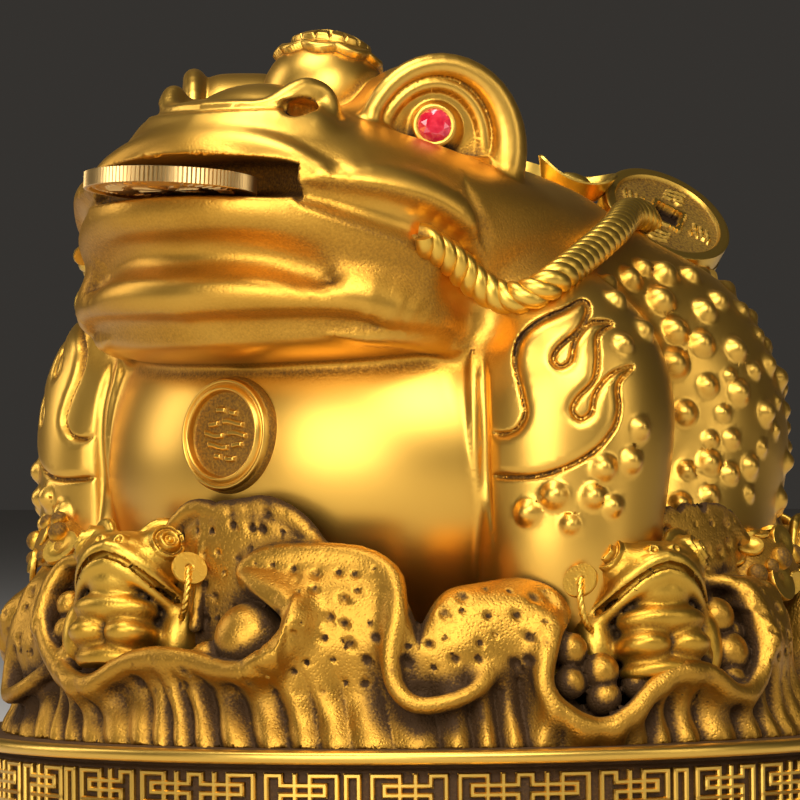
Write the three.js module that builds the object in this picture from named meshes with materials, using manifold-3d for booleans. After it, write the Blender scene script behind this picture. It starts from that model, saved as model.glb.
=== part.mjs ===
// A cast brass money toad on a ring of curled leaves and a round drum with a fret band.
// Millimetres, +Z up. The toad faces -Y and its left side is +X. The origin is under the middle of the drum.

import * as THREE from "three";
import { mergeVertices } from "three/addons/utils/BufferGeometryUtils.js";
import Module from "manifold-3d";

const wasm = await Module();
wasm.setup();

// Drum
const drumRadius = 112;
const rimHeight = 3;
const rimOverhang = 4.2;
const grooveHeight = 1.4;
const grooveDepth = 2.2;
const bandHeight = 15.2;
const footHeight = 3.2;
const footSpread = 2.6;
const drumSides = 44;
const fretRepeats = 9;
const fretBarWidth = 1.5;
const fretBarProud = 1.1;

// Leaf ring: a wide leaf and a round leaf take turns. Angles are from the toad's front toward its left.
const groundMargin = 8;
const crestLow = 17;
const leafLean = 5;
const bowlInset = 16;
const bowlDepth = 14.2;
const bowlHeight = 20.5;
const rimRadius = 2.2;
const lobeHeight = 52;
const lobeWidth = 38;
const lobeThickness = 16;
const mountHeight = 9;
const leafPleats = 24;
const pleatDepth = 2.4;
const smallToadLength = 33;
const smallToadInset = 18;
const seedRadius = 3.6;
const leafClearance = 2.6;
const wideLeaf = {
  azimuth: -9.5, halfWidth: 37, middle: 31.5, lip: 15, lobeAzimuth: 4.5, toadAzimuth: -15.5, toadFacing: 4,
  humps: [[-36, 5.5, 39], [19, 10.5, 43.5]], seeds: [[-24, 17], [6, 17]],
};
const roundLeaf = {
  azimuth: 67, halfWidth: 27.5, middle: 25, lip: 12, lobeAzimuth: 80.5, toadAzimuth: 67.5, toadFacing: 64,
  humps: [[43.5, 8, 35], [87, 6, 35]], seeds: [[54, 16], [80, 16]],
};
const leafPlaces = [[wideLeaf, 0], [roundLeaf, 0], [wideLeaf, 144], [roundLeaf, 144], [wideLeaf, 288]];

// Toad: every size of its free form goes with its height
const toadHeight = 161;
const drawn = toadHeight / 161;
const browBarRadius = 3.1 * drawn;
const nostrilBarRadius = 2.3 * drawn;
const eyeballRadius = 7.8 * drawn;
const crownRadius = 14.4 * drawn;
const capHeight = 6.4 * drawn;
const wartRadius = 4.4 * drawn;
const ropeRadius = 3.1 * drawn;
const ropeTwist = 17 * drawn;
const backCoinRadius = 16.3 * drawn;
const backCoinThickness = 5.2 * drawn;
const medallionRadius = 12.2 * drawn;
const medallionThickness = 2.4 * drawn;
const gemRadius = 4 * drawn;
const gemDepth = 3 * drawn;
const ropeStrands = 3;

// The loose coin in the mouth
const mouthCoinRadius = 19.3;
const mouthCoinThickness = 3.8;
const mouthCoinPitch = 4.5;
const seatGap = 0.3;

const drumHeight = rimHeight + 2 * grooveHeight + bandHeight + footHeight;
const bandRadius = drumRadius - rimOverhang;
const hemRadius = drumRadius - groundMargin;
const degree = Math.PI / 180;

function brass(shade) {
  return new THREE.MeshStandardMaterial({ color: shade, roughness: 0.34, metalness: 1 });
}

function redStone() {
  return new THREE.MeshStandardMaterial({ color: 0xd82a3c, roughness: 0.08, metalness: 0 });
}

function point(x, y, z) {
  return new THREE.Vector3(x, y, z);
}

// A point at a compass angle round the drum's axis: 0 is the toad's front, and angles grow toward its left.
function around(azimuth, radius, z) {
  return point(radius * Math.sin(azimuth * degree), -radius * Math.cos(azimuth * degree), z);
}

// Solids from closed surfaces, and back

function solidFrom(geometry) {
  const bare = geometry.clone();
  for (const name of Object.keys(bare.attributes)) {
    if (name !== "position") bare.deleteAttribute(name);
  }
  const merged = mergeVertices(bare, 1e-4);
  return new wasm.Manifold(new wasm.Mesh({
    numProp: 3,
    vertProperties: new Float32Array(merged.attributes.position.array),
    triVerts: new Uint32Array(merged.index.array),
  }));
}

function geometryFrom(solid) {
  const mesh = solid.getMesh();
  const geometry = new THREE.BufferGeometry();
  geometry.setAttribute("position", new THREE.BufferAttribute(new Float32Array(mesh.vertProperties), 3));
  geometry.setIndex(new THREE.BufferAttribute(new Uint32Array(mesh.triVerts), 1));
  geometry.computeVertexNormals();
  return geometry;
}

function joined(solids) {
  return solids.reduce((whole, next) => whole.add(next));
}

function placed(geometry, position, rotation = [0, 0, 0]) {
  const matrix = new THREE.Matrix4().makeRotationFromEuler(new THREE.Euler(...rotation));
  matrix.setPosition(position);
  return solidFrom(geometry.clone().applyMatrix4(matrix));
}

// A closed skin through rings of points, with each end ring closed to its own middle.
function loft(ringCount, sideCount, pointAt) {
  const points = [];
  const middles = [];
  for (let ring = 0; ring < ringCount; ring += 1) {
    const middle = point(0, 0, 0);
    for (let side = 0; side < sideCount; side += 1) {
      const at = pointAt(ring / (ringCount - 1), side / sideCount);
      middle.addScaledVector(at, 1 / sideCount);
      points.push(at);
    }
    middles.push(middle);
  }
  const triangles = [];
  for (let ring = 0; ring < ringCount - 1; ring += 1) {
    for (let side = 0; side < sideCount; side += 1) {
      const next = (side + 1) % sideCount;
      const a = ring * sideCount + side;
      const b = ring * sideCount + next;
      const c = a + sideCount;
      const d = b + sideCount;
      triangles.push(a, b, c, b, d, c);
    }
  }
  const firstPole = points.length;
  points.push(middles[0], middles[ringCount - 1]);
  for (let side = 0; side < sideCount; side += 1) {
    const next = (side + 1) % sideCount;
    const lastRing = (ringCount - 1) * sideCount;
    triangles.push(firstPole, next, side);
    triangles.push(firstPole + 1, lastRing + side, lastRing + next);
  }
  let volume = 0;
  for (let corner = 0; corner < triangles.length; corner += 3) {
    const [a, b, c] = triangles.slice(corner, corner + 3).map((index) => points[index]);
    volume += a.dot(b.clone().cross(c));
  }
  if (volume < 0) triangles.reverse();
  const geometry = new THREE.BufferGeometry();
  geometry.setAttribute("position", new THREE.Float32BufferAttribute(points.flatMap((p) => p.toArray()), 3));
  geometry.setIndex(triangles);
  return geometry;
}

// A bar of changing radius along a curve, with its section free to turn and to swell.
function sweep(curve, steps, sides, radiusAt) {
  const frames = curve.computeFrenetFrames(steps, false);
  return loft(steps + 1, sides, (along, turn) => {
    const step = Math.round(along * steps);
    const angle = turn * 2 * Math.PI;
    const radius = radiusAt(along, angle);
    return curve.getPointAt(along)
      .addScaledVector(frames.normals[step], radius * Math.cos(angle))
      .addScaledVector(frames.binormals[step], radius * Math.sin(angle));
  });
}

function turned(profile, sides) {
  return new THREE.LatheGeometry(profile.map(([radius, z]) => new THREE.Vector2(radius, z)), sides)
    .rotateX(Math.PI / 2);
}

// Rounded lumps, blended into one skin

// Signed distance to an egg-like lump. A squareness over 2 makes its upright sides fuller.
function lump(at, centre, radii, squareness = 2) {
  const x = (at.x - centre.x) / radii.x;
  const y = (at.y - centre.y) / radii.y;
  const z = Math.abs(at.z - centre.z) / radii.z;
  const flat = Math.hypot(x, y);
  const share = (flat ** squareness + z ** squareness) ** (1 / squareness);
  return (share - 1) * Math.min(radii.x, radii.y, radii.z);
}

function blend(first, second, softness) {
  const share = Math.max(softness - Math.abs(first - second), 0) / softness;
  return Math.min(first, second) - share * share * softness / 4;
}

// The skin of a field of lumps as seen from a middle point, on an even ball of directions.
function skin(field, middle, detail, grow) {
  const ball = mergeVertices(new THREE.IcosahedronGeometry(1, detail).deleteAttribute("uv")
    .deleteAttribute("normal"), 1e-5);
  const places = ball.attributes.position;
  for (let index = 0; index < places.count; index += 1) {
    const way = point(places.getX(index), places.getY(index), places.getZ(index)).normalize();
    const reach = reachOf(field, middle, way, grow);
    places.setXYZ(index, middle.x + way.x * reach, middle.y + way.y * reach, middle.z + way.z * reach);
  }
  return solidFrom(ball);
}

function reachOf(field, middle, way, grow = 0) {
  let inside = 0;
  let outside = 160;
  for (let reach = 4; reach < outside; reach += 2) {
    if (field(middle.clone().addScaledVector(way, reach)) > grow) outside = reach;
    else inside = reach;
  }
  for (let halving = 0; halving < 12; halving += 1) {
    const reach = (inside + outside) / 2;
    if (field(middle.clone().addScaledVector(way, reach)) > grow) outside = reach;
    else inside = reach;
  }
  return inside;
}

// The toad, with its heights counted from the drum's top

function spot(x, y, z) {
  return point(x, y, z).multiplyScalar(drawn);
}

// The eye lies in a plane of its own: along runs to the rear, up to the brow, and out to the front.
const eyePlane = new THREE.Matrix4().makeBasis(
  point(0.575, 0.767, -0.286),
  point(0.171, 0.229, 0.958),
  point(0.8, -0.6, 0),
);
eyePlane.setPosition(spot(34.2, -45.6, 134.1));
const towardEyePlane = eyePlane.clone().invert();
const moundMiddle = spot(0, 3, -11);
const moundRadii = spot(17.6, 17.2, 12);

function eyeSpot(side, along, up, out) {
  const at = spot(along, up, out).applyMatrix4(eyePlane);
  return point(side * at.x, at.y, at.z);
}

function bodyField(at) {
  const belly = lump(at, spot(0, -10, 62), spot(70, 70.5, 56));
  const back = lump(at, spot(0, 2, 85), spot(60, 56, 47));
  const rump = lump(at, spot(0, 28, 52), spot(58, 36, 48));
  const jaw = lump(at, spot(0, -36, 105), spot(60, 61, 21), 4);
  const crown = lump(at, spot(0, -40, 118), spot(54, 54, 21));
  const muzzle = lump(at, spot(0, -58, 122), spot(49, 38, 16.5), 2.4);
  const snout = lump(at, spot(0, -66, 135), spot(27, 24, 12), 2.6);
  const dome = lump(at, spot(0, -67, 140), spot(17.5, 17, 11));
  const inEye = point(Math.abs(at.x), at.y, at.z).applyMatrix4(towardEyePlane);
  const mound = lump(inEye, moundMiddle, moundRadii, 4);
  const trunk = blend(blend(belly, back, 14 * drawn), rump, 14 * drawn);
  const snoutAndDome = blend(blend(muzzle, snout, 9 * drawn), dome, 1.6 * drawn);
  const head = blend(blend(blend(jaw, crown, 6 * drawn), snoutAndDome, 7 * drawn), mound, 5 * drawn);
  return blend(trunk, head, 7 * drawn);
}

function legField(side) {
  return (at) => {
    const shoulder = lump(at, spot(side * 60, -32, 75), spot(24, 24, 28));
    const forearm = lump(at, spot(side * 63, -36, 47), spot(21, 21.5, 37));
    return blend(shoulder, forearm, 12 * drawn);
  };
}

function haunchField(side) {
  return (at) => {
    const thigh = lump(at, spot(side * 53, 20, 67), spot(28.5, 31, 41));
    const knee = lump(at, spot(side * 60, 7, 38), spot(23, 26, 32));
    return blend(thigh, knee, 8 * drawn);
  };
}

function onSkin(field, middle, azimuth, elevation, sink) {
  const flat = Math.cos(elevation * degree);
  const way = point(flat * Math.sin(azimuth * degree), -flat * Math.cos(azimuth * degree),
    Math.sin(elevation * degree));
  return middle.clone().addScaledVector(way, reachOf(field, middle, way) - sink);
}

// Warts spread over the outer side of a limb, a golden angle apart.
function warts(field, middle, side, count, firstElevation, lastElevation) {
  const found = [];
  for (let index = 0; index < count; index += 1) {
    const elevation = firstElevation + (lastElevation - firstElevation) * (index + 0.5) / count;
    const azimuth = side * (98 + 84 * (2 * ((index * 0.618) % 1) - 1));
    const radius = wartRadius * (0.8 + 0.35 * Math.abs(Math.sin(index * 1.7)));
    const place = onSkin(field, middle, azimuth, elevation, radius * 0.3);
    found.push(placed(new THREE.IcosahedronGeometry(radius, 0), place));
  }
  return found;
}

function twistedRope(side) {
  const route = new THREE.CatmullRomCurve3([
    spot(side * 48, -73, 113),
    spot(side * 56, -59, 102.5),
    spot(side * 60.5, -47, 99.5),
    spot(side * 63.5, -33.5, 105),
    spot(side * 61, -18.4, 112.5),
    spot(side * 54, 0.5, 117.5),
    spot(side * 44, 24, 119),
  ]);
  const turnsAll = route.getLength() / ropeTwist;
  return solidFrom(sweep(route, 16, 5, (along, angle) => ropeRadius
    * (1 + 0.2 * Math.cos(ropeStrands * angle - along * turnsAll * 2 * Math.PI))));
}

function coinProfile(radius, thickness, border) {
  return [[0, 0], [radius, 0], [radius, thickness], [radius - border, thickness],
    [radius - border * 1.4, thickness * 0.7], [0, thickness * 0.7]];
}

// Half an oval in the eye's plane, from its rear corner over the top to its front corner.
function browArch(side) {
  const arch = new THREE.CatmullRomCurve3(Array.from({ length: 7 }, (_, step) => {
    const turn = Math.PI * step / 6;
    return eyeSpot(side, 17.2 * Math.cos(turn), 19 * Math.sin(turn) - 1, 0.6);
  }));
  return solidFrom(sweep(arch, 8, 4, (along) => browBarRadius * (1.2 - 0.55 * along)));
}

// The mound that fills the arch from behind.
function eyeMound(side) {
  const mound = new THREE.SphereGeometry(1, 10, 6).rotateX(Math.PI / 2)
    .scale(...moundRadii.toArray()).translate(...moundMiddle.toArray()).applyMatrix4(eyePlane);
  return side > 0 ? solidFrom(mound) : solidFrom(mound).mirror([1, 0, 0]);
}

function eyeMiddle(side) {
  return eyeSpot(side, -1.6, 4.8, -4.6);
}

function eyeWay(side) {
  return point(side * 0.68, -0.72, 0.1).normalize();
}

function gemShape(side, grow) {
  const table = gemRadius * 0.6;
  const profile = [[0, -gemDepth - grow], [gemRadius + grow, 0], [gemRadius + grow, gemDepth * 0.23],
    [table + grow, gemDepth * 0.53 + grow], [0, gemDepth * 0.53 + grow]];
  const turn = new THREE.Quaternion().setFromUnitVectors(point(0, 0, 1), eyeWay(side));
  const middle = eyeMiddle(side).addScaledVector(eyeWay(side), eyeballRadius * 0.95);
  return turned(profile, 8).applyQuaternion(turn).translate(middle.x, middle.y, middle.z);
}

function nostril(side) {
  const curl = new THREE.CatmullRomCurve3([
    spot(side * 12, -81.5, 140.5),
    spot(side * 17.4, -76, 144.4),
    spot(side * 21.6, -72.5, 142.6),
    spot(side * 20, -77, 137.6),
  ]);
  return solidFrom(sweep(curl, 5, 4, () => nostrilBarRadius));
}

function medallion() {
  const rim = medallionRadius * 0.86;
  const profile = [[0, 0], [medallionRadius, 0], [medallionRadius, medallionThickness],
    [rim, medallionThickness], [rim, medallionThickness * 0.6], [0, medallionThickness * 0.6]];
  const middle = spot(0, -79.6, 69);
  const disc = placed(turned(profile, 16), middle, [Math.PI / 2, 0, 0]);
  const strokes = [-0.33, 0, 0.33].map((share) => placed(
    new THREE.BoxGeometry(medallionRadius * 0.1, medallionThickness * 0.9, medallionRadius * 0.7),
    middle.clone().add(point(share * medallionRadius, -medallionThickness / 2, 0)),
  ));
  return joined([disc, ...strokes]);
}

function mouthCoinShape(grow) {
  const radius = mouthCoinRadius + grow;
  const half = mouthCoinThickness / 2 + grow;
  return turned([[0, -half], [radius, -half], [radius, half], [0, half]], 30);
}

const mouthCoinMiddle = spot(0, -100, 125);
const mouthCoinTurn = [-mouthCoinPitch * degree, 0, 0];

// The open mouth: a pocket round the coin, and a slit that falls to both corners.
function mouthCut() {
  const pocket = new THREE.SphereGeometry(1, 12, 5).scale(34, 24, 6).scale(drawn, drawn, drawn);
  const slit = new THREE.CatmullRomCurve3([
    spot(-51.5, -69, 111), spot(-41.5, -82, 116.6), spot(-28, -91, 122), spot(0, -98, 123.5),
    spot(28, -91, 122), spot(41.5, -82, 116.6), spot(51.5, -69, 111),
  ]);
  return placed(pocket, spot(0, -92, 127.8)).add(solidFrom(sweep(slit, 12, 4, () => 1.6 * drawn)));
}

// The bare toad. A coarser and larger one is what the leaves are cut back to.
function toadSolid(grow, bodyDetail, limbDetail) {
  const parts = [skin(bodyField, spot(0, -24, 84), bodyDetail, grow)];
  for (const side of [-1, 1]) {
    parts.push(skin(legField(side), spot(side * 62, -35, 62), limbDetail, grow));
    parts.push(skin(haunchField(side), spot(side * 55, 15, 58), limbDetail, grow));
  }
  return joined(parts).trimByPlane([0, 0, 1], mountHeight);
}

function toad() {
  const bare = toadSolid(0, 5, 2);
  const details = [medallion()];
  details.push(placed(new THREE.SphereGeometry(crownRadius, 10, 6), spot(0, -42, 146.4)));
  const cap = [[0, 0], [crownRadius * 0.94, 0], [crownRadius * 0.88, capHeight * 0.3],
    [crownRadius * 0.5, capHeight * 0.85], [0, capHeight]];
  details.push(placed(turned(cap, 10), spot(0, -42, 154.8)));
  const backCoin = turned(coinProfile(backCoinRadius, backCoinThickness, backCoinRadius * 0.15), 12);
  for (const side of [-1, 1]) {
    details.push(browArch(side), eyeMound(side), nostril(side), twistedRope(side));
    details.push(placed(new THREE.SphereGeometry(eyeballRadius, 8, 5), eyeMiddle(side)));
    details.push(...warts(haunchField(side), spot(side * 55, 15, 58), side, 8, -14, 62));
    details.push(...warts(legField(side), spot(side * 62, -35, 62), side, 3, -20, 8));
    details.push(placed(backCoin, spot(side * 38.8, 37.8, 114.8), [0, side * 37 * degree, 0]));
  }
  let whole = joined([bare, ...details]).subtract(mouthCut());
  whole = whole.subtract(placed(mouthCoinShape(seatGap), mouthCoinMiddle, mouthCoinTurn));
  for (const side of [-1, 1]) {
    whole = whole.subtract(solidFrom(gemShape(side, seatGap)));
  }
  return whole;
}

// The leaf ring

// How high the leaves stand at a compass angle: low at the leaves' lips, and high where they fold between.
function crestHeight(azimuth) {
  let crest = crestLow;
  for (const [leaf, turn] of leafPlaces) {
    for (const [place, spread, height] of leaf.humps) {
      const gap = (((azimuth - place - turn) % 360) + 540) % 360 - 180;
      crest = Math.max(crest, crestLow + (height - crestLow) * Math.exp(-(Math.abs(gap / spread) ** 2.6)));
    }
  }
  return crest;
}

// The whole ring of folded leaves, pleated at its hem. It is solid, and the toad stands in it.
function leafMass() {
  const rings = [
    { inset: 2, share: 0, pleat: 1 },
    { inset: leafLean, share: 0.36, pleat: 0.6 },
    { inset: 3.5, share: 0.7, pleat: 0 },
    { inset: 8, share: 0.94, pleat: 0 },
    { inset: bowlInset, share: 1, pleat: 0 },
    { inset: bowlInset * 2, share: 0.94, pleat: 0 },
  ];
  return solidFrom(loft(rings.length, leafPleats * 2, (along, turn) => {
    const ring = rings[Math.round(along * (rings.length - 1))];
    const fold = Math.round(turn * leafPleats * 2) % 2;
    const radius = hemRadius - ring.inset - pleatDepth * ring.pleat * fold;
    return around(turn * 360, radius, crestHeight(turn * 360) * ring.share);
  }));
}

// The bowl of a leaf, bent round the drum's axis.
function leafBowl(leaf, turn) {
  const bowl = new THREE.SphereGeometry(1, 12, 5);
  const places = bowl.attributes.position;
  const circle = hemRadius - bowlInset;
  for (let index = 0; index < places.count; index += 1) {
    const azimuth = leaf.azimuth + turn - places.getX(index) * leaf.halfWidth / circle / degree;
    const radius = circle + places.getY(index) * bowlDepth;
    const at = around(azimuth, radius, leaf.middle + places.getZ(index) * bowlHeight);
    places.setXYZ(index, at.x, at.y, at.z);
  }
  return solidFrom(bowl);
}

// The rolled rim along a leaf's lip; its ends run into the folds on both sides.
function leafRim(leaf, turn) {
  const spread = leaf.halfWidth / (hemRadius - bowlInset) / degree;
  const rim = new THREE.CatmullRomCurve3(Array.from({ length: 9 }, (_, step) => {
    const share = step / 4 - 1;
    const azimuth = leaf.azimuth + turn + share * spread;
    const height = leaf.lip + (crestHeight(azimuth) * 0.9 - leaf.lip) * share ** 4 - 2 * Math.cos(share * 5);
    return around(azimuth, hemRadius - 5.5 - 7 * share ** 4, height);
  }));
  return solidFrom(sweep(rim, 8, 4, () => rimRadius));
}

// A leaf lobe that leans on the toad's belly behind a bowl.
function leafLobe(leaf, turn) {
  return solidFrom(loft(4, 8, (along, share) => {
    const angle = share * 2 * Math.PI;
    const width = lobeWidth / 2 * Math.sqrt(1 - (along * 0.92) ** 4);
    const radius = hemRadius - smallToadInset - lobeThickness / 2 + 1 - 2 * along;
    const azimuth = leaf.lobeAzimuth + turn + Math.cos(angle) * width / radius / degree;
    const height = mountHeight + along * (lobeHeight - mountHeight);
    return around(azimuth, radius + Math.sin(angle) * lobeThickness / 2, height);
  }));
}

// One small toad that faces -Y, standing on z = 0.
function smallToad(detail) {
  const size = (x, y, z) => point(x, y, z).multiplyScalar(smallToadLength);
  const field = (at) => {
    const body = lump(at, size(0, 0.1, 0.28), size(0.38, 0.38, 0.36));
    const head = lump(at, size(0, -0.2, 0.5), size(0.38, 0.4, 0.2));
    const mirrored = point(Math.abs(at.x), at.y, at.z);
    const eyes = lump(mirrored, size(0.22, -0.2, 0.66), size(0.13, 0.13, 0.13));
    return blend(blend(body, head, smallToadLength * 0.12), eyes, smallToadLength * 0.04);
  };
  return skin(field, size(0, -0.05, 0.36), detail, 0);
}

function leafBed() {
  const solids = [leafMass()];
  const bowls = [];
  const inBowls = [];
  for (const [leaf, turn] of leafPlaces) {
    const seen = Math.cos((leaf.azimuth + turn) * degree) > 0.3;
    bowls.push(leafBowl(leaf, turn));
    inBowls.push(leafRim(leaf, turn), leafLobe(leaf, turn));
    inBowls.push(smallToad(seen ? 2 : 1).rotate([0, 0, leaf.toadFacing + turn])
      .translate(around(leaf.toadAzimuth + turn, hemRadius - smallToadInset, mountHeight).toArray()));
    for (const [azimuth, height] of leaf.seeds) {
      const seed = new THREE.IcosahedronGeometry(seedRadius, 0);
      inBowls.push(placed(seed, around(azimuth + turn, hemRadius - 9, height)));
    }
  }
  const bed = joined(solids).subtract(joined(bowls));
  return joined([bed, ...inBowls]).subtract(toadSolid(leafClearance * drawn, 3, 2));
}

// The drum

function fretBars() {
  const bars = [];
  const post = (azimuth, z, height) => {
    const place = around(azimuth, bandRadius - grooveDepth / 2 + fretBarProud / 2, z);
    return placed(new THREE.BoxGeometry(fretBarWidth, grooveDepth + fretBarProud, height), place,
      [0, 0, azimuth * degree]);
  };
  const middle = footHeight + grooveHeight + bandHeight / 2;
  for (let repeat = 0; repeat < fretRepeats; repeat += 1) {
    const start = 360 / fretRepeats * repeat;
    for (const share of [0.03, 0.39, 0.69]) {
      bars.push(post(start + 360 / fretRepeats * share, middle, bandHeight - 1.6));
    }
  }
  return bars;
}

function drum() {
  const bandBottom = footHeight + grooveHeight;
  const bandTop = bandBottom + bandHeight;
  const profile = [
    [0, 0], [drumRadius - footSpread, 0], [drumRadius - footSpread, footHeight * 0.7],
    [bandRadius - grooveDepth, bandBottom], [bandRadius, bandBottom],
    [bandRadius, bandTop], [bandRadius - grooveDepth, bandTop],
    [drumRadius, drumHeight - rimHeight * 0.7], [drumRadius - 1, drumHeight], [0, drumHeight],
  ];
  return joined([solidFrom(turned(profile, drumSides)), ...fretBars()]);
}

function named(name, solid, material) {
  const mesh = new THREE.Mesh(geometryFrom(solid), material);
  mesh.name = name;
  return mesh;
}

const figure = new THREE.Group();
const onDrum = new THREE.Group();
onDrum.position.z = drumHeight;
figure.add(named("drum_base", drum(), brass(0xb98a30)), onDrum);
onDrum.add(named("toad", toad(), brass(0xd2a43c)), named("leaf_bed", leafBed(), brass(0xa87a2c)));

const coin = named("mouth_coin", solidFrom(mouthCoinShape(0)), brass(0xb99a50));
coin.position.copy(mouthCoinMiddle);
coin.rotation.set(...mouthCoinTurn);
onDrum.add(coin);
onDrum.add(named("eye_gem_left", solidFrom(gemShape(1, 0)), redStone()));
onDrum.add(named("eye_gem_right", solidFrom(gemShape(-1, 0)), redStone()));

export default figure;
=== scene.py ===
import math
from concurrent.futures import ThreadPoolExecutor

import bpy
import numpy as np
from mathutils import Matrix, Vector


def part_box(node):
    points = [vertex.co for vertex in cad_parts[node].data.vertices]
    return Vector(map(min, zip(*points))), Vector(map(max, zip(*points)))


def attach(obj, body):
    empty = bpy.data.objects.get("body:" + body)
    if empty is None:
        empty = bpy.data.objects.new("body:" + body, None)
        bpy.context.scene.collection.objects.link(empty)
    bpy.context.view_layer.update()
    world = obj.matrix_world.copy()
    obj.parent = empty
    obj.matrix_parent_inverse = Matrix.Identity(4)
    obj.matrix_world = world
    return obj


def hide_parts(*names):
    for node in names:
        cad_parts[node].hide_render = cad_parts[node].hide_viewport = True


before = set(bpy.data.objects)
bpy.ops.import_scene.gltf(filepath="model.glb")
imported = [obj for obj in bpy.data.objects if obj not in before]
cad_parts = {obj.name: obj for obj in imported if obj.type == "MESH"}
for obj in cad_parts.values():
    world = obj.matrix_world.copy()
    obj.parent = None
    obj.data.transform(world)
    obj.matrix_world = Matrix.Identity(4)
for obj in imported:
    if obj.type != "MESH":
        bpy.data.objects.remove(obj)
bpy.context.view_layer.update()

# The camera stands to the toad's front left, a little above the drum's top, with a long lens.
mm = 0.001
drum_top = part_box("drum_base")[1][2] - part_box("drum_base")[0][2]
camera_azimuth = math.radians(35)
camera_distance = 1.232
camera_height = drum_top + 0.064
camera_yaw = math.radians(0.333)
camera_pitch = math.radians(0.62)
camera_roll = math.radians(0.5)
lens_mm = 232.65

inward = Vector((-math.sin(camera_azimuth), math.cos(camera_azimuth), 0))
sideways = Vector((math.cos(camera_azimuth), math.sin(camera_azimuth), 0))
forward = inward * math.cos(camera_yaw) - sideways * math.sin(camera_yaw)
forward = (forward + Vector((0, 0, math.tan(camera_pitch)))).normalized()
right = forward.cross(Vector((0, 0, 1))).normalized()
upward = right.cross(forward)
tilted_right = right * math.cos(camera_roll) - upward * math.sin(camera_roll)
tilted_up = tilted_right.cross(forward)
camera_data = bpy.data.cameras.new("camera")
camera_data.lens = lens_mm
camera_data.sensor_width = 36
camera_data.clip_end = 20
camera = bpy.data.objects.new("camera", camera_data)
camera.matrix_world = Matrix((tilted_right, tilted_up, -forward)).transposed().to_4x4()
camera.location = -inward * camera_distance + Vector((0, 0, camera_height))
bpy.context.scene.collection.objects.link(camera)
bpy.context.scene.camera = camera

# A pale floor, five soft panels of light and a dim room round them.
floor_mesh = bpy.data.meshes.new("studio_floor")
floor_half = 6.0
floor_mesh.from_pydata(
    [(x * floor_half, y * floor_half, -0.0005) for x, y in ((-1, -1), (1, -1), (1, 1), (-1, 1))],
    [], [(0, 1, 2, 3)])
floor = bpy.data.objects.new("studio_floor", floor_mesh)
bpy.context.scene.collection.objects.link(floor)
floor_paint = bpy.data.materials.new("pale_floor")
floor_paint.use_nodes = True
floor_paint.node_tree.nodes["Principled BSDF"].inputs["Base Color"].default_value = (0.62, 0.6, 0.57, 1)
floor_paint.node_tree.nodes["Principled BSDF"].inputs["Roughness"].default_value = 0.7
floor_mesh.materials.append(floor_paint)


def soft_panel(name, azimuth, height, distance, size, power, colour):
    """A square panel of light that faces the figure's middle."""
    light = bpy.data.lights.new(name, "AREA")
    light.shape = "RECTANGLE"
    light.size, light.size_y = size
    light.energy = power
    light.color = colour
    panel = bpy.data.objects.new(name, light)
    turn = math.radians(azimuth)
    panel.location = (distance * math.sin(turn), -distance * math.cos(turn), height)
    aim = Vector((0, 0, 0.1)) - panel.location
    panel.rotation_euler = aim.to_track_quat("-Z", "Y").to_euler()
    bpy.context.scene.collection.objects.link(panel)


soft_panel("panel_key", 46, 0.95, 1.1, (0.7, 0.7), 11, (1.0, 0.97, 0.92))
soft_panel("panel_front", 10, 0.5, 1.5, (0.9, 0.9), 12, (1.0, 0.97, 0.93))
soft_panel("panel_side", 96, 0.5, 1.2, (0.3, 0.8), 1.6, (1.0, 0.96, 0.9))
soft_panel("panel_far", -70, 0.6, 1.2, (0.4, 0.9), 3.5, (1.0, 0.96, 0.9))
soft_panel("panel_top", -20, 1.4, 0.35, (0.7, 0.7), 10, (1.0, 0.98, 0.95))
world = bpy.data.worlds.new("room")
world.use_nodes = True
world.node_tree.nodes["Background"].inputs["Color"].default_value = (0.7, 0.64, 0.57, 1)
world.node_tree.nodes["Background"].inputs["Strength"].default_value = 0.05
bpy.context.scene.world = world
bpy.context.scene.view_settings.view_transform = "Standard"

# The toad is one hollow casting in brass, polished on its high places and left brown in its hollows, where
# patina and painted shade lie together.
# It rests on the drum within the ring of leaves. Its skin is drawn as a field of blended lumps, in
# millimetres above the drum's top, alike on both sides.


def egg(at, centre, radii, squareness=2.0):
    """Distance to an egg-like lump; a squareness over 2 makes its upright sides fuller."""
    x, y, z = ((at[:, axis] - centre[axis]) / radii[axis] for axis in range(3))
    flat = x * x + y * y
    if squareness == 2.0:
        share = np.sqrt(flat + z * z)
    else:
        share = (flat ** (squareness / 2) + np.abs(z) ** squareness) ** (1 / squareness)
    return (share - 1) * min(radii)


def ball(at, centre, radius):
    return np.sqrt(sum((at[:, axis] - centre[axis]) ** 2 for axis in range(3))) - radius


def blend(first, second, softness):
    share = np.maximum(softness - np.abs(first - second), 0) / softness
    return np.minimum(first, second) - share * share * softness / 4


def carve(whole, cutter, softness):
    return -blend(-whole, cutter, softness)


def ease(value, low, high):
    """A smooth step from 0 at the low value to 1 at the high one."""
    share = np.clip((value - low) / (high - low), 0, 1)
    return share * share * (3 - 2 * share)


def mirrored(at):
    """The points with the right half laid over on the left half."""
    return np.column_stack([np.abs(at[:, 0]), at[:, 1], at[:, 2]])


def smooth_path(points, steps):
    """Even steps along a smooth curve through the points."""
    points = np.array(points, float)
    padded = np.vstack([2 * points[0] - points[1], points, 2 * points[-1] - points[-2]])
    found = []
    for share in np.linspace(0, len(points) - 1 - 1e-9, steps):
        piece = int(share)
        t = share - piece
        a, b, c, d = padded[piece:piece + 4]
        found.append(0.5 * (2 * b + (c - a) * t + (2 * a - 5 * b + 4 * c - d) * t * t
                            + (3 * b - a - 3 * c + d) * t ** 3))
    return np.array(found)


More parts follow.
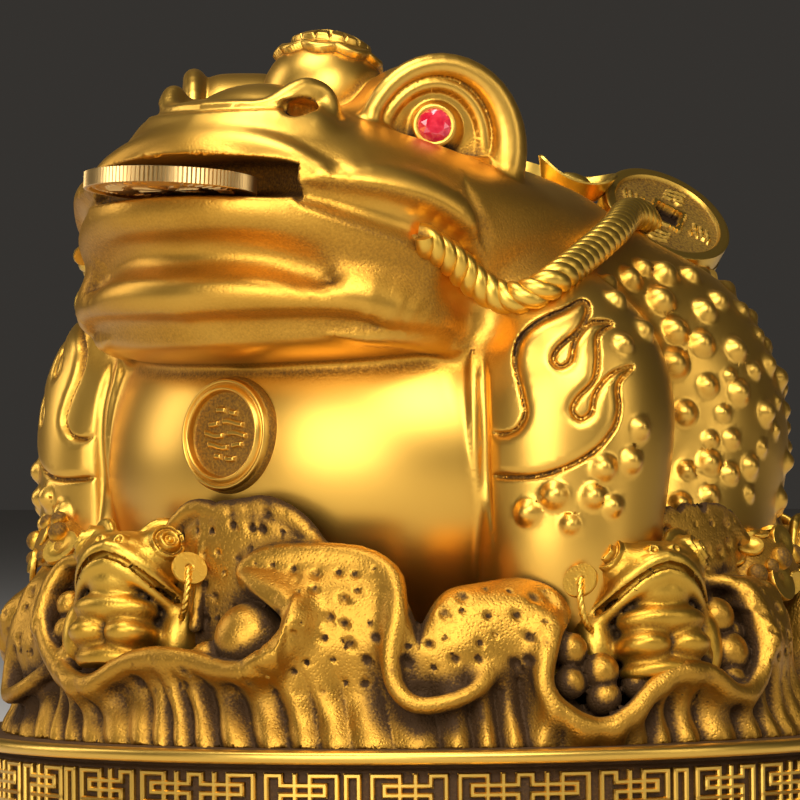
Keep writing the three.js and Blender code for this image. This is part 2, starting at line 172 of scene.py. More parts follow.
def bar(at, path, radii):
    """Distance to a round bar along a path; its radius may change from end to end."""
    radii = np.interp(np.linspace(0, 1, len(path)), np.linspace(0, 1, np.size(radii)), np.atleast_1d(radii))
    reach = float(radii.max()) + 12
    low, high = path.min(0) - reach, path.max(0) + reach
    near = np.ones(len(at), bool)
    for axis in range(3):
        near &= (at[:, axis] > low[axis]) & (at[:, axis] < high[axis])
    found = np.full(len(at), reach, np.float32)
    if not near.any():
        return found
    close = at[near].T
    best = np.full(close.shape[1], reach, np.float32)
    spots, sizes = path.tolist(), radii.tolist()
    for start, end, thick, thin in zip(spots[:-1], spots[1:], sizes[:-1], sizes[1:]):
        along = [b - a for a, b in zip(start, end)]
        span = sum(step * step for step in along) + 1e-9
        x, y, z = (close[axis] - start[axis] for axis in range(3))
        share = np.clip((x * along[0] + y * along[1] + z * along[2]) / span, 0, 1)
        x, y, z = x - share * along[0], y - share * along[1], z - share * along[2]
        away = np.sqrt(x ** 2 + y ** 2 + z ** 2)
        best = np.minimum(best, away - thick - (thin - thick) * share)
    found[near] = best
    return found


# The eye lies in a plane of its own: along runs to the rear, up to the brow and out to the front left.
lid_lean = math.radians(16.6)
eye_middle = np.array((34.2, -45.6, 134.1))
eye_axes = np.array((
    (0.6 * math.cos(lid_lean), 0.8 * math.cos(lid_lean), -math.sin(lid_lean)),
    (0.6 * math.sin(lid_lean), 0.8 * math.sin(lid_lean), math.cos(lid_lean)),
    (0.8, -0.6, 0.0)))
eyeball_middle = (-1.2, 3.9, -4.4)
eyeball_radius = 7.8
gem_radius = 4.0


def half_ring(centre, width, height, out, steps=22):
    """Half an oval in the eye's plane, from its rear corner over the top to its front corner."""
    turn = np.linspace(-0.12, math.pi + 0.1, steps)
    return np.column_stack([centre + width * np.cos(turn), height * np.sin(turn), np.full(steps, out)])


def eye_form(head, side):
    """Brow mound, outer arch, lid arch, eyeball and lower lids on the head."""
    local = (side - eye_middle.astype(np.float32)) @ eye_axes.T.astype(np.float32)
    mound = egg(local, (0, 3, -11), (17.6, 17.2, 12), 4)
    head = blend(head, mound, 5)
    dish = egg(local, (-0.5, 6.0, 2.4), (12.8, 11.8, 2.8), 3)
    head = carve(head, dish, 1.4)
    head = blend(head, bar(local, half_ring(0, 17.2, 19, 0.6), (4.6, 3.6, 2.7, 2.3, 2.1)), 1.4)
    head = blend(head, bar(local, half_ring(-1, 12.4, 14.4, -0.2), (1.7, 1.6, 1.5)), 0.7)
    head = blend(head, ball(local, eyeball_middle, eyeball_radius), 0.5)
    lid = smooth_path([(-17, -0.5, 0.5), (-8, -1.6, 2.4), (0, -2.2, 3.2), (9, -1.4, 2.4), (17, 0.5, 0.5)], 16)
    head = blend(head, bar(local, lid, (1.0, 1.7, 1.9, 1.7, 1.0)), 1.0)
    roll = smooth_path([(-1, -4.6, 3.4), (8, -4.4, 2.8), (17, -2, 0.4)], 10)
    return blend(head, bar(local, roll, (0.8, 1.5, 0.8)), 1.4)


nostril_curl = smooth_path([(9.5, -82.6, 140.2), (13.6, -81.4, 142.4), (16.6, -78.6, 144.8),
    (18.7, -74.4, 146.6), (20.8, -71, 145.4), (22.6, -70.4, 142.2), (23.4, -72.4, 138.4)], 24)
nostril_lip = smooth_path([(17.4, -79.6, 142.8), (19.2, -80, 140.8), (19.8, -80, 138.4)], 8)
lower_lip = smooth_path([(0, -96, 119.4), (14, -94.6, 119.2), (26, -88.5, 118.2), (35, -79.5, 114),
    (41, -69, 110)], 18)
upper_lip = smooth_path([(0, -91.5, 134.2), (13, -90.5, 133.4), (24, -89, 130.8), (31, -87, 126.8)], 12)
crown_middle = np.array((0, -42, 146.5))
crown_radius = 14.4
mouth_half_width = 28.4
mouth_droop = 0.0021


def head_form(at, side):
    """Jaws, snout, nostrils, mouth, eyes and the ball on the crown."""
    jaw = egg(at, (0, -36, 105), (57, 61, 21), 4)
    crown = egg(at, (0, -40, 118), (52, 54, 21))
    muzzle = egg(at, (0, -58, 122), (46.5, 38, 16.5), 2.4)
    head = blend(blend(jaw, crown, 5), muzzle, 5)
    snout = egg(at, (0, -66, 132), (20.5, 24, 11), 2.4)
    head = blend(head, snout, 13)
    dome = egg(at, (0, -66, 138.5), (17.5, 17, 10.6))
    ledge = smooth_path([(0, -85.5, 140.4), (9, -84, 140.2), (16, -81, 139.4), (22, -76.5, 137.5)], 10)
    head = blend(blend(head, bar(side, ledge, (2.6, 2.6, 2.0)), 7), dome, 1.4)
    head = eye_form(head, side)
    head = blend(head, egg(side, (17, -72, 140.4), (5.4, 7.4, 5.4)), 4)
    head = blend(head, bar(side, nostril_curl, (1.0, 1.7, 2.3, 2.6, 2.5, 2.1, 1.2)), 2.4)
    hollow = egg(side, (19.8, -77.4, 141.2), (3.0, 5.4, 3.0))
    head = carve(head, hollow, 1.4)
    head = blend(head, bar(side, nostril_lip, (0.7, 1.0, 0.7)), 0.9)
    head = blend(head, ball(at, crown_middle, crown_radius), 1.2)
    head = blend(head, bar(side, upper_lip, (1.2, 1.5, 1.0)), 4)
    head = blend(head, bar(side, lower_lip, (3.2, 3.2, 3.0, 2.0, 1.0)), 5)
    drooped = at + np.column_stack([0 * at[:, 0], 0 * at[:, 0], mouth_droop * at[:, 0] ** 2])
    opening = egg(drooped, (0, -94, 126.8), (31.5, 19, 4.6), 4.5)
    corner = np.maximum(opening, np.abs(at[:, 0]) - mouth_half_width)
    return carve(head, corner, 0.7)


def limb_form(body, at, side):
    """Front legs and haunches; their creases are sharp low down and soft above."""
    shoulder = egg(side, (60, -32, 75), (24, 24, 28))
    forearm = egg(side, (63, -36, 47), (21, 21.5, 37))
    thigh = egg(side, (53, 20, 67), (28.5, 31, 41))
    knee = egg(side, (60, 7, 38), (23, 26, 32))
    foot = egg(side, (60, -42, 16), (12, 14, 12))
    high = ease(at[:, 2], 58, 92)
    body = blend(body, blend(thigh, knee, 8), 2.2 + 10 * high)
    leg = blend(blend(shoulder, forearm, 12), foot, 5)
    return blend(body, leg, 2.0 + 7 * high)


# Drawn details are placed as seen by the camera: across and height, counted on an upright plane through the
# drum's axis. They are carried to the skin along the line of sight, and mirrored to the other side.
seen_from = np.array((math.cos(camera_azimuth), math.sin(camera_azimuth)))
camera_spot = np.array((
    math.sin(camera_azimuth) * camera_distance, -math.cos(camera_azimuth) * camera_distance,
    camera_height - drum_top)) / mm


def plain_toad(at):
    """The toad's large forms, before any detail is drawn on them."""
    side = mirrored(at)
    belly = egg(at, (0, -10, 62), (70, 70.5, 56))
    back = egg(at, (0, 2, 85), (60, 56, 47))
    rump = egg(at, (0, 28, 52), (58, 36, 48))
    trunk = blend(blend(belly, back, 14), rump, 14)
    body = blend(trunk, head_form(at, side), 2.2 + 9 * ease(at[:, 1], -62, -25))
    return limb_form(body, at, side)


def march(form, start, way, steps=60):
    """Where rays meet a form's skin."""
    spot = np.array(start, np.float32)
    for _ in range(steps):
        spot = spot + (way * (np.clip(form(spot), -6, 6)[:, None] * 0.75)).astype(np.float32)
    return spot


def drawn_on(form, drawing, steps):
    """A drawn line carried to the form's skin. What lies beyond the toad's middle is cut off there."""
    flat = smooth_path(np.array(drawing, float), steps)
    aim = np.column_stack([flat[:, 0] * seen_from[0], flat[:, 0] * seen_from[1], flat[:, 1]])
    way = aim - camera_spot
    way /= np.linalg.norm(way, axis=1)[:, None]
    found = march(form, aim - way * 160, way).astype(float)
    first = int(np.argmax(found[:, 0] > 0))
    if first:
        before, after = found[first - 1], found[first]
        crossing = after + (before - after) * after[0] / (after[0] - before[0])
        found = np.vstack([crossing, found[first:]])
    return found


slit_line = drawn_on(
    plain_toad, [(-32.2, 126.5), (-22.9, 124.1), (-11.7, 121.3), (-2.6, 117.4), (2.4, 114.6)], 22)
recess_line = drawn_on(
    plain_toad, [(-28.2, 126.6), (-20.3, 124.9), (-10.7, 122.4), (-1.2, 119.2), (6, 114.4), (10, 108.4)], 22)
# Soft lines: drawn places, width and depth in millimetres. A negative depth is a swell. The ones that start
# beyond the middle run round the throat; the others fade at both ends.
soft_lines = [(drawn_on(plain_toad, drawing, 22), width, depth) for drawing, width, depth in (
    (((-66, 111.8), (-60, 112.2), (-53.9, 112.4), (-45.3, 112.2), (-36.2, 110.7), (-25, 106.4), (-15, 102.4)),
     4.4, 2.0),
    (((-64, 146.4), (-52, 147.6), (-42.9, 147.9), (-34, 148), (-28, 147.4)), 1.0, 1.3),
    (((-66, 93), (-60, 94.2), (-53.9, 95), (-44.1, 95.3), (-34.1, 96), (-21.4, 96.4), (-11.9, 95), (0, 92.6)),
     3.6, 1.3),
    (((-66, 103), (-60, 103.6), (-52, 104), (-44, 104), (-34, 103.4), (-20, 101.6), (-6, 98), (6, 94)),
     6.4, -1.7),
    (((-28, 93.4), (-9.5, 92.2), (2.4, 89.8), (10.5, 89.8)), 2.6, -1.0),
    (((-34, 129.8), (-19.1, 130.3), (-7.1, 129.1), (2.4, 125.1), (9.5, 118.9), (13, 111.3)), 5.0, -1.0),
    (((12.6, 91.5), (12.6, 82.2), (12.9, 70.3), (13.3, 58.3), (15.3, 40)), 1.3, 1.5),
    (((10.2, 91.8), (10.4, 82.2), (10.7, 70.3), (11.1, 50)), 1.3, -0.8),
    (((8.1, 131.8), (10.5, 123.9), (12.6, 117.9), (14.3, 111.1)), 1.9, 0.5),
    (((4.7, 109.5), (11.4, 99.7), (16, 89.3)), 5.0, 2.4))]


def drawn_details(body, side):
    """The soft lines, the recess over the mouth's corner and the slit in it."""
    for path, width, depth in soft_lines:
        start_fade = 0.0 if path[0, 0] < 1 else -1.7 * width
        away = bar(side, path, (start_fade, 0.0, 0.0, 0.0, -1.7 * width))
        body = body + depth * np.exp(-(away / width) ** 2)
    body = carve(body, bar(side, recess_line, (0.6, 1.8, 2.6, 3.0, 2.8, 1.4)), 4.0)
    return carve(body, bar(side, slit_line, (1.0, 1.1, 1.1, 1.0, 0.8)), 0.6)


flame_line = smooth_path([(11.5, 71), (14.9, 68.7), (18.9, 69.4), (21.2, 72.9), (20.6, 77.5), (19.2, 84.5),
    (20.2, 89.6), (24, 93.4), (30, 96.2), (34.2, 98.3), (35.6, 96.2), (33.6, 92), (29, 88), (27.4, 85.2),
    (29, 83.5), (31.3, 84.8), (32.6, 89.4), (36, 93.3), (40.6, 93), (37.6, 90.5), (37.4, 85), (36.4, 80.3),
    (32.8, 76.6), (31.5, 73.8), (33.2, 71.9), (35.6, 73.2), (36.8, 77.6), (40.4, 81.8), (45, 83.3),
    (41.9, 79.6), (42, 74), (40.6, 69.6), (36.4, 64.8), (29.9, 61.2), (22.9, 59.2), (14.4, 59.4), (6, 61)],
    140)


flame_groove_depth = 0.95
flame_groove_width = 0.55
flame_rise = 0.55


def seen(side):
    return side[:, 0] * float(seen_from[0]) + side[:, 1] * float(seen_from[1])


def flames(at, side):
    """A groove along the flame outline on the outer side of the front leg, and the raised skin inside it."""
    shift = np.zeros(len(at), np.float32)
    across, height = seen(side), at[:, 2]
    near = ((across > 3) & (across < 50) & (height > 54) & (height < 103)
            & (side[:, 0] > 38) & (side[:, 0] * 0.82 - side[:, 1] * 0.57 > 50))
    if not near.any():
        return shift
    across, height = across[near], height[near]
    outline = np.vstack([flame_line, [(2, 60), (2, 72)], flame_line[:1]])
    inside = np.zeros(len(across), bool)
    away = np.full(len(across), 99, np.float32)
    for number, (start, end) in enumerate(zip(outline[:-1].tolist(), outline[1:].tolist())):
        run, rise = end[0] - start[0], end[1] - start[1]
        x, y = across - start[0], height - start[1]
        spans = (y < 0) != (height < end[1])
        inside ^= spans & (x * rise < y * run if rise > 0 else x * rise > y * run)
        if number < len(flame_line) - 1:
            share = np.clip((x * run + y * rise) / (run * run + rise * rise), 0, 1)
            away = np.minimum(away, np.hypot(x - share * run, y - share * rise))
    signed = np.where(inside, -away, away)
    groove = flame_groove_depth * np.exp(-(away / flame_groove_width) ** 2)
    shift[near] = (groove - flame_rise * ease(-signed, -0.5, 2.5)) * ease(across, 13, 16)
    return shift


# Warts: across, height and radius for the ones seen from the front left; the rest are scattered.
seen_warts = np.array([(41, 103, 1.8), (46.4, 104.5, 2.3), (49.8, 107.1, 1.9), (54.6, 105.8, 2.8),
    (61.1, 105.5, 2), (42.1, 98.6, 2.2), (53.5, 99.4, 2.9), (64, 97.1, 2.4), (67.5, 99.6, 2.1),
    (73.1, 97.6, 1.7), (48.2, 91.7, 2.3), (56.7, 92.4, 2.5), (62.9, 89.4, 2.4), (71.1, 88.1, 2.4),
    (43.5, 88.8, 1.8), (56.3, 84.7, 2.7), (79, 84.7, 2.1), (77, 91.7, 1.4), (75.4, 83.2, 1.5),
    (69.5, 81.9, 1), (64, 79.6, 1.8), (71.5, 78.1, 2.3), (58.5, 73.2, 2.2), (67.6, 73.3, 1.2),
    (78, 73.4, 2.4), (81.1, 76, 1), (80.6, 69.3, 1), (46.8, 69.7, 2.1), (44.7, 62.5, 2.3), (38.4, 61, 2.4),
    (27.4, 55, 2.5), (36.1, 54.7, 2.2), (21.4, 51.2, 2.3), (40.4, 52.5, 1.8), (30.9, 48.5, 1.6),
    (64.4, 67.3, 1.2), (69.5, 67.3, 1.6), (77, 65.2, 1.2), (64.1, 61.9, 2.2), (58.8, 60.1, 1.4),
    (69, 59.3, 1.8), (73.9, 60.9, 2.1), (64, 54.4, 1.7), (73.6, 54.7, 1.2), (57.2, 52.7, 1.7),
    (66.7, 47.8, 1.7)])


def smooth_toad(at):
    """The toad without its warts and flame outlines."""
    side = mirrored(at)
    return drawn_details(plain_toad(at), side)


def placed_warts():
    """Wart middles a little under the skin, with their radii."""
    outward = np.array((math.sin(camera_azimuth), -math.cos(camera_azimuth), 0))
    across = np.array((math.cos(camera_azimuth), math.sin(camera_azimuth), 0))
    start = np.outer(seen_warts[:, 0], across) + np.outer(seen_warts[:, 1], (0, 0, 1)) + outward * 110
    found = march(smooth_toad, start, np.broadcast_to(-outward, start.shape))
    middles = list(found)
    sizes = list(seen_warts[:, 2])
    chance = np.random.default_rng(7)
    way = chance.normal(size=(900, 3))
    way /= np.linalg.norm(way, axis=1)[:, None]
    middle = np.array((20, 22, 72))
    tries = march(smooth_toad, middle + way * 130, -way)
    for spot in tries:
        radius = chance.uniform(1.1, 2.7)
        folded = np.array((abs(spot[0]), spot[1], spot[2]))
        behind = folded @ outward < -6 or folded[1] > 30
        if not behind or spot[2] < 22 or folded[0] < 5:
            continue
        gaps = np.linalg.norm(np.array(middles) - folded, axis=1) - np.array(sizes)
        if gaps.min() > radius + 1.6:
            middles.append(folded)
            sizes.append(radius)
    return np.array(middles), np.array(sizes)


wart_middles, wart_sizes = placed_warts()
# The wart that is nearest to each cell of a coarse grid is looked up, so only one is measured for a point.
wart_cell = 2.0
wart_cells = (48, 92, 62)
wart_low = np.array((0, -95, 15), np.float32)
cell_numbers = np.stack(np.meshgrid(*[np.arange(n) for n in wart_cells], indexing="ij"), -1).reshape(-1, 3)
cell_spots = (cell_numbers + 0.5) * wart_cell + wart_low
nearest_wart = np.zeros(len(cell_spots), np.int32)
nearest_reach = np.full(len(cell_spots), 1e3, np.float32)
for number, (middle, radius) in enumerate(zip(wart_middles, wart_sizes)):
    reach = np.sqrt(((cell_spots - middle) ** 2).sum(1)) - radius
    nearest_wart = np.where(reach < nearest_reach, number, nearest_wart)
    nearest_reach = np.minimum(reach, nearest_reach)
wart_table = np.column_stack([wart_middles, wart_sizes]).astype(np.float32)


def toad_form(at):
    side = mirrored(at)
    body = smooth_toad(at)
    cell = np.clip(((side - wart_low) / wart_cell).astype(np.int32), 0, np.array(wart_cells) - 1)
    flat_cell = (cell[:, 0] * wart_cells[1] + cell[:, 1]) * wart_cells[2] + cell[:, 2]
    near = nearest_reach[flat_cell] < 6
    wart = wart_table[nearest_wart[flat_cell[near]]]
    warts = np.full(len(at), 9, np.float32)
    sunk = wart[:, 3] * 0.2
    apart = ((side[near] - wart[:, :3]) ** 2).sum(1) + 2 * body[near] * sunk + sunk ** 2
    warts[near] = np.sqrt(np.maximum(apart, 0)) - wart[:, 3] * 1.14
    return blend(body, warts, 1.7) + flames(at, side)


def spread(field):
    """The same field, worked out in small batches side by side."""
    def found(points):
        batches = np.array_split(points.astype(np.float32), max(1, len(points) // 6000))
        with ThreadPoolExecutor(4) as pool:
            return np.concatenate(list(pool.map(field, batches)))
    return found


def net(field, low, high, step):
    """Triangles over the cells of a grid that the field's skin passes through."""
    axes = [start + step * np.arange(2 * int((end - start) / step / 2) + 1) for start, end in zip(low, high)]
    grid = np.stack(np.meshgrid(*axes, indexing="ij"), -1)
    shape = grid.shape[:3]
    values = field(grid[::2, ::2, ::2].reshape(-1, 3)).reshape([(n + 1) // 2 for n in shape])
    for axis, n in enumerate(shape):
        values = np.repeat(values, 2, axis=axis).take(np.arange(n), axis=axis)
    close = np.abs(values) < step * 4.5
    values[close] = field(grid[close])
    cells = tuple(n - 1 for n in shape)
    total = np.zeros(cells + (3,))
    count = np.zeros(cells)
    corners = [(i, j, k) for i in (0, 1) for j in (0, 1) for k in (0, 1)]

    def corner(array, offset):
        return array[tuple(slice(o, o + n) for o, n in zip(offset, cells))]

    for first in corners:
        for axis in range(3):
            if first[axis]:
                continue
            second = tuple(o + (index == axis) for index, o in enumerate(first))
            a, b = corner(values, first), corner(values, second)
            crossed = (a < 0) != (b < 0)
            share = np.where(crossed, a / np.where(crossed, a - b, 1), 0)[..., None]
            spot = corner(grid, first) * (1 - share) + corner(grid, second) * share
            total += np.where(crossed[..., None], spot, 0)
            count += crossed
    used = count > 0
    number = np.full(cells, -1)
    number[used] = np.arange(used.sum())
    points = total[used] / count[used][:, None]
    triangles = []
    for axis in range(3):
        one, two = [a for a in range(3) if a != axis]
        inner = tuple(slice(0, -1) if a == axis else slice(1, -1) for a in range(3))
        ahead = tuple(slice(1, None) if a == axis else slice(1, -1) for a in range(3))
        inside = values[inner] < 0
        spots = np.argwhere(inside != (values[ahead] < 0))
        flipped = inside[tuple(spots.T)] ^ (axis == 1)
        base = spots.copy()
        base[:, one] += 1
        base[:, two] += 1

        def at_offset(back_one, back_two):
            place = base.copy()
            place[:, one] -= back_one
            place[:, two] -= back_two
            return number[tuple(place.T)]

        quads = np.column_stack([at_offset(1, 1), at_offset(0, 1), at_offset(0, 0), at_offset(1, 0)])
        quads = np.where(flipped[:, None], quads, quads[:, ::-1])
        triangles += [quads[:, [0, 1, 2]], quads[:, [0, 2, 3]]]
    return points, np.vstack(triangles)


def slope(field, points, reach=0.12):
    """The field at the points, and its slope there."""
    here = field(points)
    steps = np.eye(3) * reach
    ahead = np.column_stack([field(points + step) for step in steps])
    return here, (ahead - here[:, None]) / reach


def unit(ways):
    return ways / np.maximum(np.linalg.norm(ways, axis=1), 1e-9)[:, None]


def settle(field, points, rounds=1, first=0):
    """Moves the points from the given one on onto the field's skin, and tells which way the skin faces."""
    points = points.copy()
    for _ in range(rounds):
        here, way = slope(field, points[first:])
        steep = np.maximum((way ** 2).sum(1), 0.04)
        points[first:] -= np.clip(here / steep, -2.0, 2.0)[:, None] * way
    return points, unit(way)


def refine(points, triangles, ways, longest, shortest, sharpest):
    """Splits the edges that are too long, or that turn too sharply for their length."""
    ends = np.sort(triangles[:, [0, 1, 1, 2, 2, 0]].reshape(-1, 2), axis=1)
    keys, place = np.unique(ends[:, 0] * len(points) + ends[:, 1], return_inverse=True)
    pairs = np.column_stack([keys // len(points), keys % len(points)])
    middles = points[pairs].mean(1)
    length = np.linalg.norm(points[pairs[:, 0]] - points[pairs[:, 1]], axis=1)
    turn = (ways[pairs[:, 0]] * ways[pairs[:, 1]]).sum(1)
    split = (length > longest(middles)) | ((length > shortest(middles)) & (turn < math.cos(sharpest)))
    number = np.full(len(keys), -1)
    number[split] = len(points) + np.arange(split.sum())
    points = np.vstack([points, middles[split]])
    halves = number[place.reshape(-1, 3)]
    marks = (halves >= 0).sum(1)
    v, h = triangles[marks == 3], halves[marks == 3]
    found = [triangles[marks == 0], np.column_stack([v[:, 0], h[:, 0], h[:, 2]]),
             np.column_stack([h[:, 0], v[:, 1], h[:, 1]]), np.column_stack([h[:, 2], h[:, 1], v[:, 2]]), h]
    for roll in range(3):
        v, h = np.roll(triangles, -roll, 1), np.roll(halves, -roll, 1)
        one = (marks == 1) & (h[:, 0] >= 0)
        found += [np.column_stack([v[one, 0], h[one, 0], v[one, 2]]),
                  np.column_stack([h[one, 0], v[one, 1], v[one, 2]])]
        two = (marks == 2) & (h[:, 2] < 0)
        found += [np.column_stack([h[two, 0], v[two, 1], h[two, 1]]),
                  np.column_stack([v[two, 0], h[two, 0], h[two, 1]]),
                  np.column_stack([v[two, 0], h[two, 1], v[two, 2]])]
    return points, np.vstack(found)


def cast_skin(field, low, high, step, longest, shortest, turns):
    """A skin of triangles on the field, finer where it turns: its points, triangles and normals."""
    points, triangles = net(field, low, high, step)
    points, ways = settle(field, points, 2)
    for sharpest in turns:
        known = len(points)
        points, triangles = refine(points, triangles, ways, longest, shortest, sharpest)
        points, new_ways = settle(field, points, 1, known)
        ways = np.vstack([ways, new_ways])
    points, ways = settle(field, points)
    return points, triangles, ways


def openness(field, points, ways, reaches):
    """How open the space over the skin is: 1 on a free face, and less in a hollow. The paint darkens the
    brass by it, as painted shade in creases together with patina.
    """
    found = np.zeros(len(points))
    for reach in reaches:
        found += np.clip(field(points + ways * reach) / reach, 0, 1.1) / len(reaches)
    return found


def mark_points(mesh, mark, values):
    """Keeps one value for each point under a name that the paint reads."""
    layer = mesh.attributes.new(mark, "FLOAT", "POINT")
    layer.data.foreach_set("value", np.asarray(values, np.float32))


def placed_mesh(name, points, triangles, lift=drum_top, ways=None, marks=()):
    """A mesh object from points in millimetres above the drum's top, with its normals and named values."""
    mesh = bpy.data.meshes.new(name)
    mesh.vertices.add(len(points))
    mesh.vertices.foreach_set("co", (points * mm + np.array((0, 0, lift))).astype(np.float32).ravel())
    corners = triangles.shape[1]
    mesh.loops.add(triangles.size)
    mesh.loops.foreach_set("vertex_index", triangles.astype(np.int32).ravel())
    mesh.polygons.add(len(triangles))
    mesh.polygons.foreach_set("loop_start", np.arange(0, triangles.size, corners, dtype=np.int32))
    mesh.polygons.foreach_set("use_smooth", np.ones(len(triangles), bool))
    mesh.update()
    for mark, values in dict(marks).items():
        mark_points(mesh, mark, values)
    if ways is not None:
        mesh.normals_split_custom_set_from_vertices(ways.tolist())
    piece = bpy.data.objects.new(name, mesh)
    bpy.context.scene.collection.objects.link(piece)
    return piece


class Wire:
    """A socket in a shader's tree. Arithmetic on it adds the nodes."""

    def __init__(self, nodes, socket):
        self.nodes = nodes
        self.socket = socket

    def math(self, operation, first, second=0.0):
        return self.nodes.node("ShaderNodeMath", {"operation": operation}, {0: first, 1: second})

    def __add__(self, other):
        return self.math("ADD", self, other)

    def __radd__(self, other):
        return self.math("ADD", other, self)

    def __sub__(self, other):
        return self.math("SUBTRACT", self, other)

    def __rsub__(self, other):
        return self.math("SUBTRACT", other, self)

    def __mul__(self, other):
        return self.math("MULTIPLY", self, other)

    def __rmul__(self, other):
        return self.math("MULTIPLY", other, self)

    def __truediv__(self, other):
        return self.math("DIVIDE", self, other)

    def beside(self, name):
        """Another output of the node that this socket belongs to."""
        return Wire(self.nodes, self.socket.node.outputs[name])

    def ease(self, low, high):
        """A smooth step from 0 to 1 between two values of this socket."""
        return self.nodes.node("ShaderNodeMapRange", {"interpolation_type": "SMOOTHSTEP"},
                               {"Value": self, "From Min": low, "From Max": high})


class Nodes:
    """A node tree, with one way to add a node."""

    def feed(self, socket, value):
        if isinstance(value, Wire):
            self.tree.links.new(value.socket, socket)
        else:
            socket.default_value = value

    def node(self, kind, settings, inputs, output=0):
        made = self.tree.nodes.new(kind)
        for key, value in settings.items():
            setattr(made, key, value)
        for key, value in inputs.items():
            self.feed(made.inputs[key], value)
        return Wire(self, made.outputs[output])


class Paint(Nodes):
    """A material under construction."""

    def __init__(self, name):
        self.material = bpy.data.materials.new(name)
        self.material.use_nodes = True
        self.tree = self.material.node_tree
        self.shader = self.tree.nodes["Principled BSDF"]

    def place(self):
        return self.node("ShaderNodeTexCoord", {}, {}, "Object")

    def mark(self, name):
        return self.node("ShaderNodeAttribute", {"attribute_name": name}, {}, "Fac")

    def noise(self, place, scale, detail=2.0):
        return self.node("ShaderNodeTexNoise", {}, {"Vector": place, "Scale": scale, "Detail": detail})

    def mix(self, first, second, share):
        return self.node("ShaderNodeMix", {"data_type": "RGBA"}, {0: share, 6: first, 7: second}, 2)

    def shade(self, **inputs):
        for key, value in inputs.items():
            self.feed(self.shader.inputs[key.replace("_", " ")], value)


def brass_paint(name, bright, deep, patina_shade_colour, grain, rough, patina_and_shade_start, patina_and_shade_full, even=0.03):
    """Cast brass: rubbed bright where it stands proud, stippled where it turns in, and deeper gold, then
    brown, where it lies low; that darkening is brown patina together with painted shade.

    The mesh carries one value, open, which is 1 on a free face and 0 in a deep hollow. The even share of the
    stipple covers the free faces too.
    """
    paint = Paint(name)
    place = paint.place()
    cloud = paint.noise(place, 38, 3)
    speck = paint.noise(place, 1700, 3)
    pits = paint.node("ShaderNodeTexVoronoi", {}, {"Vector": place, "Scale": 1350.0})
    hollow = 1 - paint.mark("open") + (cloud - 0.5) * 0.14
    turned_in = hollow.ease(patina_and_shade_start * 0.6, patina_and_shade_full * 0.95)
    low = hollow + (speck - 0.5) * turned_in * (0.6 * grain)
    patina_and_shade = low.ease(patina_and_shade_start, patina_and_shade_full)
    # Deeper gold and then brown where the skin lies low and shut in: patina, and painted shade for the light
    # that the hollows don't get.
    gold_with_painted_shade = paint.mix(bright, deep, (low * 1.1 + (cloud - 0.5) * 0.3).ease(0.2, 0.85))
    colour = paint.mix(gold_with_painted_shade, patina_shade_colour, patina_and_shade)
    relief = (pits.ease(0.0, 0.6) * 0.7 + speck * 0.6) * (turned_in * 0.8 + even) * grain
    bump = paint.node("ShaderNodeBump", {}, {"Strength": 0.5, "Distance": 0.00025, "Height": relief})
    paint.shade(Base_Color=colour, Metallic=1 - patina_and_shade * 0.6, Roughness=patina_and_shade * 0.25 + turned_in * 0.1 + rough,
                Normal=bump)
    return paint.material


# The casting is cut off flat at this height over the drum, behind the leaves.
mount_height = 9.0


def toad_skin(at):
    return np.maximum(toad_form(at), mount_height - at[:, 2])


def fine_side(at):
    """1 on the face and the toad's left front, 0 on the back and low down."""
    toward = at[:, 0] * 0.45 - at[:, 1] * 0.9
    face = ease(at[:, 2], 112, 122) * ease(-at[:, 1], 0, 20)
    return np.maximum(ease(toward, -25, 20), face) * ease(at[:, 2], 12, 30)


def longest_edge(at):
    return 3.2 - 1.3 * fine_side(at)


def shortest_edge(at):
    return 2.15 - 1.15 * fine_side(at)


toad_field = spread(toad_skin)
points, triangles, ways = cast_skin(
    toad_field, (-96, -108, 3), (96, 78, 170), 2.1, longest_edge, shortest_edge, (0.2, 0.24, 0.28))
hollow_reaches = (1.5, 4.0, 9.0)
# How open each point lies; the brass paint turns low values into painted shade and patina in the creases.
open_share = openness(toad_field, points, ways, hollow_reaches)
toad = placed_mesh("toad_casting", points, triangles, ways=ways, marks={"open": open_share})
# Bright brass, a deeper gold and a brown: the deeper gold and the brown are painted shade in the hollows,
# with patina.
toad.data.materials.append(brass_paint(
    "toad_brass", (0.85, 0.49, 0.085, 1), (0.56, 0.265, 0.026, 1), (0.055, 0.022, 0.004, 1),
    0.8, 0.36, 0.5, 0.95))
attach(toad, "root")
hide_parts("toad")

# The leaf bed is one casting: curled lotus leaves with rolled rims, dimpled outside and pleated at the hem.
# It lies round the toad on the drum, with small toads, seeds and coins in the leaves.
# Its places are polar: azimuth in degrees from the toad's front toward its left, radius and height.


def around(azimuth, radius, height):
    turn = np.radians(azimuth)
    return np.column_stack([radius * np.sin(turn), -radius * np.cos(turn), np.full(np.shape(turn), height)])


def polar_path(places, turn, steps):
    """A smooth path through polar places, turned round the drum's axis."""
    places = smooth_path(places, steps)
    return around(places[:, 0] + turn, places[:, 1], places[:, 2])


